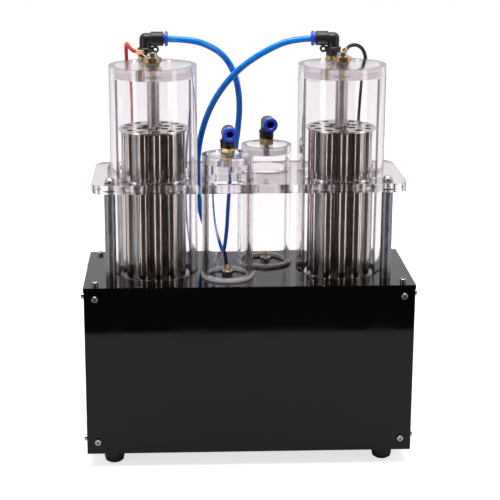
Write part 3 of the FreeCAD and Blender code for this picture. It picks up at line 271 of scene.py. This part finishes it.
# %% [markdown]
# Noise shows in two ways. Fed into the roughness, it makes the gloss uneven, as handling does. Fed
# into a Bump node, it gives relief that is too fine to model. Displacing the mesh would need far more
# faces, and the fixed part may not change its shape.


# %% Gloss and relief
def uneven_gloss(material, noise, smoothest, roughest):
    """Lets the roughness vary with the noise."""
    feed(material, "Roughness", ranged(material, noise, smoothest, roughest))


def raised(material, value, distance, strength=1.0):
    """Fine relief of the surface."""
    bump = add_node(material, "ShaderNodeBump", {
        "Height": value, "Strength": strength, "Distance": distance})
    feed(material, "Normal", bump.outputs["Normal"])


# %% [markdown]
# The case is glossy black acrylic sheet. Seen from low down its top mirrors the pale backdrop, and
# faint wiping marks show in the gloss. One even, smooth shader would look like lacquer, so noise
# roughens it in places, and a second, broad noise bends the mirror image a little.

# %% Black acrylic
black_sheet = new_finish("black_acrylic", (0.0018, 0.0016, 0.0012), 0.06, IOR=1.42,
                         Specular_Tint=(1.0, 0.93, 0.93, 1))
wiped = object_noise(black_sheet, scale=30, detail=6)
uneven_gloss(black_sheet, wiped, smoothest=0.03, roughest=0.09)
broad_waves = object_noise(black_sheet, scale=14, stretch=(1, 1, 0.4), detail=1)
raised(black_sheet, broad_waves, distance=0.00012)
dress(black_sheet, "top_plate", "front_panel", "back_panel", "left_panel", "right_panel", "base_panel")
dress(black_sheet, "chamber_flanges")
top_low, top_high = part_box("top_plate")
print("case sheets:", round(top_high.x - top_low.x, 3), "m wide")

# %% [markdown]
# The chambers, the columns and the link pipe inside the case are extruded clear acrylic, very
# slightly wavy along their length. A thin shell would look like a soap bubble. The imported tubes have
# a real wall between bore and outside, so a fully transmitting shader bends the light as the real
# wall does, and faint relief, drawn out along the tube, is enough for the waves.

# %% Clear tube
ACRYLIC_IOR = 1.49


def drawn_tube(name):
    """Clear tube, slightly wavy along its length."""
    material = new_finish(name, (0.96, 0.945, 0.955), 0.02, IOR=ACRYLIC_IOR, Transmission_Weight=1.0)
    along_tube = object_noise(material, scale=60, stretch=(1, 1, 0.05), detail=2)
    raised(material, along_tube, distance=0.00002, strength=0.03)
    return material


dress(drawn_tube("clear_pipe"), "link_pipe")

# %% [markdown]
# Some finishes cover only a stretch or a side of a piece. Such a share is a number from 0 to 1, made
# from places and directions with Math nodes. Painting it by hand would need unwrapped pieces, and
# shares can also be multiplied, so that a finish shows only where all of them say so.


# %% Arithmetic on shares
def calculated(owner, operation, *values):
    """A number worked out from others, each a plain number or another node's output."""
    node = add_node(owner, "ShaderNodeMath", enumerate(values))
    node.operation = operation
    return node.outputs["Value"]


def combined(owner, operation, values):
    """Several numbers multiplied together, or the largest of them."""
    result = values[0]
    for value in values[1:]:
        result = calculated(owner, operation, result, value)
    return result


def vector_step(owner, operation, *values):
    """A step of vector arithmetic, with its vector and its length as outputs."""
    node = add_node(owner, "ShaderNodeVectorMath", enumerate(values))
    node.operation = operation
    return node.outputs


# %% [markdown]
# The standing tubes show a dark line where the wall starts beside the bore, and a lilac tint outside
# it, where the eye looks through more plastic. The tint is the plastic's own colour. The dark line is
# where the wall bends the light away from the eye, and here it is painted shade in the colour. Stripes
# painted on the tube would stay on one side when the view turns. Layer Weight's Facing follows the
# view instead. Two shares keep the tint off the bore and the sawn ends, which would show it as rings:
# one is read from the distance to the tube's middle line, and one from the way that a face points.

# %% The outside of a standing tube
WALL_START = 0.001
WALL_END = 0.0005
UPRIGHT_SPAN = (0.4, 0.6)


def outer_wall(material, name):
    """1 on the outside of a round upright tube and 0 on its bore, from the distance to its middle line."""
    low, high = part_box(name)
    middle = ((low.x + high.x) / 2, (low.y + high.y) / 2, 0)
    offset = vector_step(material, "SUBTRACT", object_place(material), middle)
    level_offset = vector_step(material, "MULTIPLY", offset["Vector"], (1, 1, 0))
    distance = vector_step(material, "LENGTH", level_offset["Vector"])
    radius = (high.x - low.x) / 2
    return ranged(material, distance["Value"], 0.0, 1.0, (radius - WALL_START, radius - WALL_END))


def upright_faces(material):
    """1 on the faces that stand upright and 0 on those that lie flat."""
    normal = add_node(material, "ShaderNodeTexCoord").outputs["Normal"]
    upward = add_node(material, "ShaderNodeSeparateXYZ", {"Vector": normal}).outputs["Z"]
    return ranged(material, calculated(material, "ABSOLUTE", upward), 1.0, 0.0, UPRIGHT_SPAN)


# %% [markdown]
# Along the way from the middle of the tube to its edge a colour ramp gives the colour: clear, then
# suddenly dark, which is painted shade for the light that the wall bends away, then lilac. The same
# stops serve every tube, moved to where its bore ends, and made paler on the narrow columns, where the
# real line is faint.

# %% Tint and painted dark line of a wall
CLEAR_MIDDLE = (0.95, 0.93, 0.945)
LILAC_EDGE = (0.64, 0.58, 0.61)
# The two dark stops paint shade on the line where the wall bends the light away.
WALL_STOPS = ((-0.15, CLEAR_MIDDLE), (-0.05, (0.90, 0.87, 0.89)), (-0.03, (0.05, 0.045, 0.048)),
              (0.03, (0.06, 0.055, 0.058)), (0.05, (0.73, 0.665, 0.70)))
EVEN_BLEND = 0.5


def wall_tint_and_painted_line(material, name, line, depth):
    """Clear in the middle, a painted dark shade line where the bore's wall starts, and lilac outside it."""
    edge_on = add_node(material, "ShaderNodeLayerWeight", {"Blend": EVEN_BLEND}).outputs["Facing"]
    shares = [edge_on, outer_wall(material, name), upright_faces(material)]
    ramp = add_node(material, "ShaderNodeValToRGB", {"Fac": combined(material, "MULTIPLY", shares)})
    stops = ramp.color_ramp.elements
    stops[0].color = (*CLEAR_MIDDLE, 1)
    stops[1].color = (*LILAC_EDGE, 1)
    for offset, color in WALL_STOPS:
        paled = [1 - (1 - value) * depth for value in color]
        stops.new(line + offset).color = (*paled, 1)
    print("tint of", name, "with its dark line at", line)
    return ramp.outputs["Color"]


# %% [markdown]
# Where a tube is cemented to its lid or its base ring, the joint makes that stretch look milky. The
# stretch could be cut off and given a material of its own, but the tube is one piece. So the height
# on the tube chooses: within a few tenths of a millimetre of a level, the finish changes over.

# %% Cemented stretches
ZONE_EDGE = 0.0004
POLISHED = 0.012
FULL_SPAN = (0.0, 1.0)
# A Mix node has sockets for each kind of value, so its colour sockets are picked by number.
FIRST_COLOR, SECOND_COLOR, MIXED_COLOR = 6, 7, 2


def heights(material):
    """The height above the ground, read from the object's own coordinates."""
    return add_node(material, "ShaderNodeSeparateXYZ", {"Vector": object_place(material)}).outputs["Z"]


def mixed(owner, share, first, second):
    """The first colour where the share is 0 and the second where it is 1."""
    mix = owner.node_tree.nodes.new("ShaderNodeMix")
    mix.data_type = "RGBA"
    owner.node_tree.links.new(share, mix.inputs["Factor"])
    owner.node_tree.links.new(first, mix.inputs[FIRST_COLOR])
    mix.inputs[SECOND_COLOR].default_value = (*second, 1)
    return mix.outputs[MIXED_COLOR]


def cemented(material, tint_and_painted_line, zones, color, roughness, clearness):
    """Makes a tube milky in its zones, each a level with the milky share below it and above it."""
    shares = [ranged(material, heights(material), below, above, (level - ZONE_EDGE, level + ZONE_EDGE))
              for level, below, above in zones]
    milky = combined(material, "MAXIMUM", shares)
    feed(material, "Base Color", mixed(material, milky, tint_and_painted_line, color))
    feed(material, "Roughness", ranged(material, milky, POLISHED, roughness, FULL_SPAN))
    feed(material, "Transmission Weight", ranged(material, milky, 1.0, clearness, FULL_SPAN))


# %% [markdown]
# Each chamber is a wide tube with a thick wall, and a lid cemented into its top. The height at
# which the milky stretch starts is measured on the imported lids, so it moves with them.

# %% Chamber tubes
lid_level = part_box("chamber_lids")[0].z
for name in ("left_chamber_tube", "right_chamber_tube"):
    material = drawn_tube(f"clear_{name}")
    # The plastic's lilac tint, with a painted dark shade line where the bore's wall starts.
    tint_and_painted_line = wall_tint_and_painted_line(material, name, line=0.462, depth=1.0)
    cemented(material, tint_and_painted_line, zones=[(lid_level, 0.0, 1.0)], color=(1.0, 0.96, 0.985),
             roughness=0.02, clearness=0.87)
    dress(material, name)

# %% [markdown]
# The two bubbling columns are narrow tubes that stand on a base ring and hold a lid in their top.
# They use the same helpers with two zones: the lowest millimetre above the ring, and the lid's height.

# %% Column tubes
MILKY_FOOT = 0.001

column_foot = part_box("front_bubbler_tube")[0].z + MILKY_FOOT
column_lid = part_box("bubbler_lids")[0].z
for name in ("front_bubbler_tube", "rear_bubbler_tube"):
    material = drawn_tube(f"clear_{name}")
    # The plastic's lilac tint, with a paler painted dark shade line where the bore's wall starts.
    tint_and_painted_line = wall_tint_and_painted_line(material, name, line=0.395, depth=0.6)
    cemented(material, tint_and_painted_line, zones=[(column_foot, 1.0, 0.0), (column_lid, 0.0, 1.0)],
             color=(1.0, 0.97, 0.99), roughness=0.03, clearness=0.85)
    dress(material, name)

# %% [markdown]
# Clear sheet has polished faces, and its sawn edges are a little frosted and show another tint. Two
# materials would need the faces sorted by hand. The share of upright faces, already made for the
# tubes, changes from one to the other.


# %% Sawn clear sheet
def shaded(owner, value, dark, light, span=NOISE_SPAN):
    """A colour between two colours."""
    ramp = add_node(owner, "ShaderNodeValToRGB", {"Fac": value})
    for stop, position, color in zip(ramp.color_ramp.elements, span, (dark, light)):
        stop.position = position
        stop.color = (*color, 1)
    return ramp.outputs["Color"]


def uneven_color(material, value, dark, light, span=NOISE_SPAN):
    """Lets the colour vary with a value."""
    feed(material, "Base Color", shaded(material, value, dark, light, span))


def sawn_sheet(name, face_color, edge_color, edge_roughness):
    """Clear sheet with polished faces and sawn edges."""
    material = new_finish(name, face_color, 0.03, IOR=ACRYLIC_IOR, Transmission_Weight=1.0)
    side = upright_faces(material)
    saw_marks = object_noise(material, scale=160, stretch=(1, 1, 0.25), detail=5)
    raised(material, saw_marks, distance=0.00002, strength=0.15)
    uneven_color(material, side, face_color, edge_color)
    feed(material, "Roughness", ranged(material, side, 0.02, edge_roughness, FULL_SPAN))
    return material


# %% [markdown]
# The lids and the support plate are sawn from such sheet. The plate is wide, so its faces show more
# of its tint than the lids' faces, and its edges are left rougher by the saw.

# %% Lids and support plate
lid_clear = sawn_sheet("clear_lid", (0.95, 0.915, 0.93), (0.99, 0.955, 0.975), edge_roughness=0.08)
dress(lid_clear, "chamber_lids", "bubbler_lids")
plate_clear = sawn_sheet("clear_plate", (0.66, 0.60, 0.63), (0.95, 0.91, 0.94), edge_roughness=0.16)
dress(plate_clear, "support_plate")

# %% [markdown]
# The columns' base rings are frosted white plastic, and the sealing washers are half clear. Real
# plastic of this kind scatters light inside. Volume scattering would be slow and noisy, so a little
# subsurface light does it.

# %% Frosted rings and sealing washers
frosted = new_finish("frosted_plastic", (0.97, 0.97, 0.985), 0.35, IOR=ACRYLIC_IOR,
                     Subsurface_Weight=0.3, Subsurface_Scale=0.002)
raised(frosted, object_noise(frosted, scale=900, detail=3), distance=0.00008, strength=0.6)
dress(frosted, "bubbler_base_rings")

seal = new_finish("seal_plastic", (0.86, 0.82, 0.74), 0.3, IOR=1.45, Transmission_Weight=0.55,
                  Subsurface_Weight=0.2, Subsurface_Scale=0.002)
uneven_gloss(seal, object_noise(seal, scale=200), smoothest=0.2, roughest=0.42)
dress(seal, "seal_washers")

# %% [markdown]
# The feet, the chambers' gaskets and the leads' grommets are black rubber, dull and finely grained.
# The grain is far too small to model, so it is relief in the finish.

# %% Rubber
rubber = new_finish("black_rubber", (0.012, 0.012, 0.013), 0.55)
uneven_gloss(rubber, object_noise(rubber, scale=350, detail=6), smoothest=0.42, roughest=0.7)
raised(rubber, object_noise(rubber, scale=1200, detail=3), distance=0.00005, strength=0.5)
dress(rubber, "rubber_feet", "chamber_gaskets", "lead_grommets")

# %% [markdown]
# The electrode tubes are drawn stainless steel: bright, with fine lines along their length and a
# slightly warm tone. An anisotropic shader could stretch the highlights, but the lines themselves
# should be seen, so noise drawn out along the tubes varies colour and gloss.

# %% Electrode tubes
ALONG_TUBE = (1, 1, 0.02)

drawn_steel = new_finish("electrode_steel", (0.46, 0.435, 0.41), 0.2, Metallic=1.0)
lines = object_noise(drawn_steel, scale=700, stretch=ALONG_TUBE)
uneven_color(drawn_steel, lines, dark=(0.45, 0.40, 0.37), light=(0.58, 0.525, 0.495))
broad_lines = object_noise(drawn_steel, scale=120, stretch=ALONG_TUBE, detail=3)
uneven_gloss(drawn_steel, broad_lines, smoothest=0.15, roughest=0.22)
raised(drawn_steel, lines, distance=0.00001, strength=0.2)
dress(drawn_steel, "left_electrode_tubes", "right_electrode_tubes")

# %% [markdown]
# The pipe in the middle of each bundle was turned, so its fine lines run around it, and it is
# duller than the tubes. The drilled discs are flat sheet with an even grain in one direction.

# %% Centre pipes and drilled discs
pipe_steel = new_finish("pipe_steel", (0.66, 0.61, 0.61), 0.45, Metallic=1.0)
around = object_noise(pipe_steel, scale=600, stretch=(0.3, 0.3, 1), detail=5)
uneven_color(pipe_steel, around, dark=(0.66, 0.605, 0.605), light=(0.80, 0.745, 0.745))
uneven_gloss(pipe_steel, around, smoothest=0.4, roughest=0.52)
dress(pipe_steel, "centre_pipes")

disc_steel = new_finish("disc_steel", (0.62, 0.59, 0.57), 0.28, Metallic=1.0)
grain = object_noise(disc_steel, scale=500, stretch=(1, 0.15, 1), detail=5)
uneven_gloss(disc_steel, grain, smoothest=0.2, roughest=0.4)
uneven_color(disc_steel, grain, dark=(0.68, 0.64, 0.625), light=(0.86, 0.82, 0.80))
dress(disc_steel, "perforated_discs")

# %% [markdown]
# Nuts, washers, tie bolts and the mains pins are bright steel, and the screws are a shade darker.
# Handling leaves them unevenly glossy, which a fine noise shows.

# %% Bright fasteners and screws
bright_steel = new_finish("bright_steel", (0.72, 0.73, 0.76), 0.2, Metallic=1.0)
uneven_gloss(bright_steel, object_noise(bright_steel, scale=400), smoothest=0.14, roughest=0.32)
dress(bright_steel, "tie_bolts", "terminal_locknuts", "bubbler_inlet_nuts", "support_washers", "inlet_pins")

screw_steel = new_finish("screw_steel", (0.55, 0.55, 0.57), 0.24, Metallic=1.0)
uneven_gloss(screw_steel, object_noise(screw_steel, scale=500), smoothest=0.16, roughest=0.36)
dress(screw_steel, "panel_screws", "foot_and_post_screws")

# %% [markdown]
# The threads of bolts and studs are plain cylinders in the part. Cutting real threads would take
# thousands of faces for something that is hardly seen, so a wave of the right pitch makes them in the
# finish. In a wave texture of scale 1 the bands lie a twentieth of two pi apart.

# %% Support bolts
WAVE_BANDS = 20


def thread_wave(material, pitch):
    """Waves up an upright thread, one for each of its turns."""
    wave = add_node(material, "ShaderNodeTexWave", {
        "Vector": object_place(material), "Scale": math.tau / WAVE_BANDS / pitch})
    wave.bands_direction = "Z"
    wave.wave_profile = "TRI"
    return wave.outputs["Fac"]


bolt_steel = new_finish("bolt_steel", (0.68, 0.68, 0.7), 0.24, Metallic=1.0)
raised(bolt_steel, thread_wave(bolt_steel, pitch=0.0007), distance=0.0002, strength=0.7)
dress(bolt_steel, "support_bolts")

# %% [markdown]
# The four posts are satin grey metal, a little mottled, which one noise gives to gloss and colour
# alike. The blocks inside the corners of the case are sawn aluminium with a grain in one direction.
# They can't be seen from outside, so they get only an uneven gloss.

# %% Posts and corner blocks
post_steel = new_finish("post_steel", (0.30, 0.30, 0.35), 0.38, Metallic=1.0)
mottled = object_noise(post_steel, scale=320, stretch=(1, 1, 0.5), detail=6)
uneven_gloss(post_steel, mottled, smoothest=0.3, roughest=0.5)
uneven_color(post_steel, mottled, dark=(0.22, 0.22, 0.265), light=(0.36, 0.36, 0.41))
dress(post_steel, "support_posts")

block_metal = new_finish("block_aluminium", (0.68, 0.69, 0.7), 0.4, Metallic=1.0)
sawn = object_noise(block_metal, scale=300, stretch=(1, 0.1, 1))
uneven_gloss(block_metal, sawn, smoothest=0.3, roughest=0.5)
dress(block_metal, "corner_blocks")

# %% [markdown]
# The large nuts and the stems are turned from brass. The tool leaves fine rings, which are noise
# squeezed along the turning axis. The studs and the inlets carry threads, made as on the bolts.

# %% Brass
BRASS_COLOR = (0.72, 0.5, 0.2)

brass = new_finish("brass", BRASS_COLOR, 0.24, Metallic=1.0)
turned = object_noise(brass, scale=900, stretch=(0.2, 0.2, 1))
uneven_color(brass, turned, dark=(0.58, 0.38, 0.13), light=(0.83, 0.61, 0.29))
uneven_gloss(brass, object_noise(brass, scale=300), smoothest=0.16, roughest=0.34)
dress(brass, "terminal_nuts", "fitting_stems")

threaded = new_finish("threaded_brass", BRASS_COLOR, 0.26, Metallic=1.0)
raised(threaded, thread_wave(threaded, pitch=0.0008), distance=0.0003, strength=0.8)
uneven_gloss(threaded, object_noise(threaded, scale=300), smoothest=0.18, roughest=0.36)
dress(threaded, "terminal_studs", "bubbler_inlets")

# %% [markdown]
# Each lug is one crimped piece. Its flat ring lies under the locknut and looks like tin, and its
# barrel shows copper. The barrel stands higher than the ring, so the height tells them apart.

# %% Lugs
RING_TO_BARREL = (0.3748, 0.3754)

lug_metal = new_finish("lug_copper", (0.7, 0.7, 0.72), 0.25, Metallic=1.0)
barrel = ranged(lug_metal, heights(lug_metal), 0.0, 1.0, RING_TO_BARREL)
uneven_color(lug_metal, barrel, dark=(0.72, 0.72, 0.75), light=(0.78, 0.42, 0.22), span=(0.4, 0.6))
dress(lug_metal, "terminal_lugs")

# %% [markdown]
# The elbows, the mains inlet and the rocker are black mouldings with the fine grain of their mould.
# The release collars are blue plastic that lets a little light in, so their edges glow slightly.

# %% Mouldings and collars
moulding = new_finish("black_moulding", (0.022, 0.022, 0.023), 0.32, IOR=1.5)
uneven_gloss(moulding, object_noise(moulding, scale=500, detail=5), smoothest=0.24, roughest=0.4)
raised(moulding, object_noise(moulding, scale=1500, detail=2), distance=0.00003, strength=0.4)
dress(moulding, "left_outlet_elbow", "right_outlet_elbow", "front_bubbler_elbow", "rear_bubbler_elbow",
      "rear_elbows", "power_inlet", "rocker_switch")

collar_blue = new_finish("blue_collar", (0.045, 0.105, 0.84), 0.22, IOR=1.5, Subsurface_Weight=0.15,
                         Subsurface_Scale=0.002)
uneven_gloss(collar_blue, object_noise(collar_blue, scale=400), smoothest=0.16, roughest=0.3)
dress(collar_blue, "left_outlet_collar", "right_outlet_collar", "front_bubbler_collar",
      "rear_bubbler_collar", "left_rear_collar", "right_rear_collar")

# %% [markdown]
# The hoses are blue all through and hold light inside, which makes them look bright beside the
# black case. Transmission would need a modelled bore, so strong subsurface light, deepest in blue,
# gives that glow on a solid tube.

# %% Blue hoses
hose_blue = new_finish("blue_hose", (0.012, 0.33, 0.98), 0.14, IOR=1.5, Subsurface_Weight=0.8,
                       Subsurface_Radius=(0.2, 0.6, 1.0), Subsurface_Scale=0.006)
along_hose = object_noise(hose_blue, scale=180, stretch=(1, 1, 0.3))
uneven_gloss(hose_blue, along_hose, smoothest=0.08, roughest=0.18)
dress(hose_blue, "inner_hoses")

# %% [markdown]
# The leads and the mains wires share one kind of insulation in three colours, so one helper makes
# them, with its own gloss for each.


# %% Insulation
def insulation(name, color, roughness, smoothest, roughest):
    """Smooth insulation with a slightly uneven gloss."""
    material = new_finish(name, color, roughness, IOR=1.45)
    uneven_gloss(material, object_noise(material, scale=300), smoothest, roughest)
    return material


red = insulation("red_insulation", (0.86, 0.014, 0.022), 0.34, smoothest=0.28, roughest=0.44)
black = insulation("black_insulation", (0.014, 0.014, 0.015), 0.4, smoothest=0.3, roughest=0.5)
dress(black, "inner_leads")
wire = insulation("wire_insulation", (0.16, 0.075, 0.035), 0.42, smoothest=0.34, roughest=0.5)
dress(wire, "mains_wires")

for name, material in (("left_gas_hose", hose_blue), ("right_gas_hose", hose_blue),
                       ("red_lead", red), ("black_lead", black)):
    shown_cords[name].data.materials.append(material)
    print(material.name, "on", shown_cords[name].name)

# %% [markdown]
# The power supply inside the case is a folded metal box. It can't be seen from outside, so a plain
# grey skin, half metal and half paint, is enough.

# %% Power supply
supply = new_finish("supply_case", (0.42, 0.44, 0.45), 0.42, Metallic=0.6)
uneven_gloss(supply, object_noise(supply, scale=150), smoothest=0.34, roughest=0.52)
dress(supply, "power_supply")
print("materials:", len(bpy.data.materials))

# %% [markdown]
# The set stands on a white sweep. A flat plane is enough for it, because the world behind is white
# too. The plane ends a little in front of the set, so the front of the case mirrors its edge and the
# darker room beyond.

# %% Floor
FLOOR_FRONT = -0.44
FLOOR_BACK = 2.2
FLOOR_SIDE = 1.6

floor_shape = bmesh.new()
bmesh.ops.create_grid(floor_shape, x_segments=1, y_segments=1, size=1.0)
bmesh.ops.scale(floor_shape, vec=(FLOOR_SIDE, (FLOOR_BACK - FLOOR_FRONT) / 2, 1), verts=floor_shape.verts)
bmesh.ops.translate(floor_shape, vec=(0, (FLOOR_BACK + FLOOR_FRONT) / 2, 0), verts=floor_shape.verts)
floor_mesh = bpy.data.meshes.new("floor")
floor_shape.to_mesh(floor_mesh)
floor_shape.free()
floor = bpy.data.objects.new("floor", floor_mesh)
bpy.context.scene.collection.objects.link(floor)
floor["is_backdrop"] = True
print("floor:", len(floor_mesh.vertices), "corners")

# %% [markdown]
# The floor should look nearly white and still carry the shadow. More light would clip the pale
# pieces, so the floor glows, but only for the camera and for what is seen through clear pieces. It
# casts no extra light on the set.

# %% Floor finish
FLOOR_GLOW = 0.72

floor_white = new_finish("floor_white", (0.62, 0.62, 0.62), 0.6)
uneven_gloss(floor_white, object_noise(floor_white, scale=20), smoothest=0.5, roughest=0.7)
floor_rays = add_node(floor_white, "ShaderNodeLightPath").outputs
seen = calculated(floor_white, "MAXIMUM", floor_rays["Is Camera Ray"], floor_rays["Is Transmission Ray"])
glow = add_node(floor_white, "ShaderNodeEmission", {
    "Color": (1, 1, 1, 1), "Strength": calculated(floor_white, "MULTIPLY", seen, FLOOR_GLOW)})
floor_nodes = floor_white.node_tree.nodes
lit_and_glowing = add_node(floor_white, "ShaderNodeAddShader", {
    0: floor_nodes["Principled BSDF"].outputs["BSDF"], 1: glow.outputs["Emission"]})
floor_white.node_tree.links.new(lit_and_glowing.outputs["Shader"],
                                floor_nodes["Material Output"].inputs["Surface"])
floor.data.materials.append(floor_white)
print("floor glow:", FLOOR_GLOW)

# %% [markdown]
# The room is pale behind the set and dark on the camera's side, which gives the steel its dark
# streaks and the case its black front. The camera itself sees white. Clear pieces would look black
# from behind if they showed the dark side, so a ray that has only passed through them, with no mirror
# on its way, sees the pale backdrop from every side.

# %% Backdrop
PALE_BACKDROP = (0.86, 0.85, 0.86)
DARK_ROOM = (0.048, 0.040, 0.034)
DARK_TO_PALE = (-0.4, 0.6)
NO_MIRROR_YET = 0.5

world = bpy.data.worlds.new("studio")
bpy.context.scene.world = world
world.use_nodes = True
direction = add_node(world, "ShaderNodeTexCoord").outputs["Generated"]
to_the_back = add_node(world, "ShaderNodeSeparateXYZ", {"Vector": direction}).outputs["Y"]
paleness = ranged(world, to_the_back, 0.0, 1.0, DARK_TO_PALE)
room = shaded(world, paleness, DARK_ROOM, PALE_BACKDROP, FULL_SPAN)

world_rays = add_node(world, "ShaderNodeLightPath").outputs
unmirrored = calculated(world, "LESS_THAN", world_rays["Glossy Depth"], NO_MIRROR_YET)
through = calculated(world, "MULTIPLY", world_rays["Is Transmission Ray"], unmirrored)
surround = world.node_tree.nodes["Background"]
world.node_tree.links.new(mixed(world, through, room, PALE_BACKDROP), surround.inputs["Color"])

white = add_node(world, "ShaderNodeBackground", {"Color": (1, 1, 1, 1)})
white_for_camera = add_node(world, "ShaderNodeMixShader", {
    "Fac": world_rays["Is Camera Ray"], 1: surround.outputs["Background"], 2: white.outputs["Background"]})
world.node_tree.links.new(white_for_camera.outputs["Shader"],
                          world.node_tree.nodes["World Output"].inputs["Surface"])
print("backdrop:", PALE_BACKDROP, "room:", DARK_ROOM)

# %% [markdown]
# A broad lamp overhead gives the soft shadow. A small lamp would give the steel tubes hard glints,
# and they need long, bright lines instead, so a tall, narrow lamp stands at each side in front.


# %% Lamps
def soft_light(name, place, target, size, power):
    """A large rectangular light that looks at a point."""
    data = bpy.data.lights.new(name, "AREA")
    data.shape = "RECTANGLE"
    data.size, data.size_y = size
    data.energy = power
    lamp = bpy.data.objects.new(name, data)
    lamp.location = place
    lamp.rotation_mode = "QUATERNION"
    lamp.rotation_quaternion = (Vector(target) - Vector(place)).to_track_quat("-Z", "Y")
    bpy.context.scene.collection.objects.link(lamp)


soft_light("overhead", place=(0, -0.2, 1.7), target=(0, 0, 0.2), size=(1.4, 1.0), power=26)
for name, place in (("left_strip", (-1.1, -0.8, 0.1)), ("right_strip", (1.2, -0.75, 0.1))):
    soft_light(name, place, target=(0, 0, 0.1), size=(0.25, 1.8), power=5)
bpy.context.scene.view_settings.view_transform = "Standard"
print("lights:", len(bpy.data.lights))

# %% [markdown]
# The shown pieces must keep to the box of the imported part. The box of all shown pieces, leaving
# out the floor, is written down, one axis a line.

# %% Box of the shown pieces
shown_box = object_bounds()
for side, low, high in zip("XYZ", *shown_box):
    print(side, round(low, 4), round(high, 4))
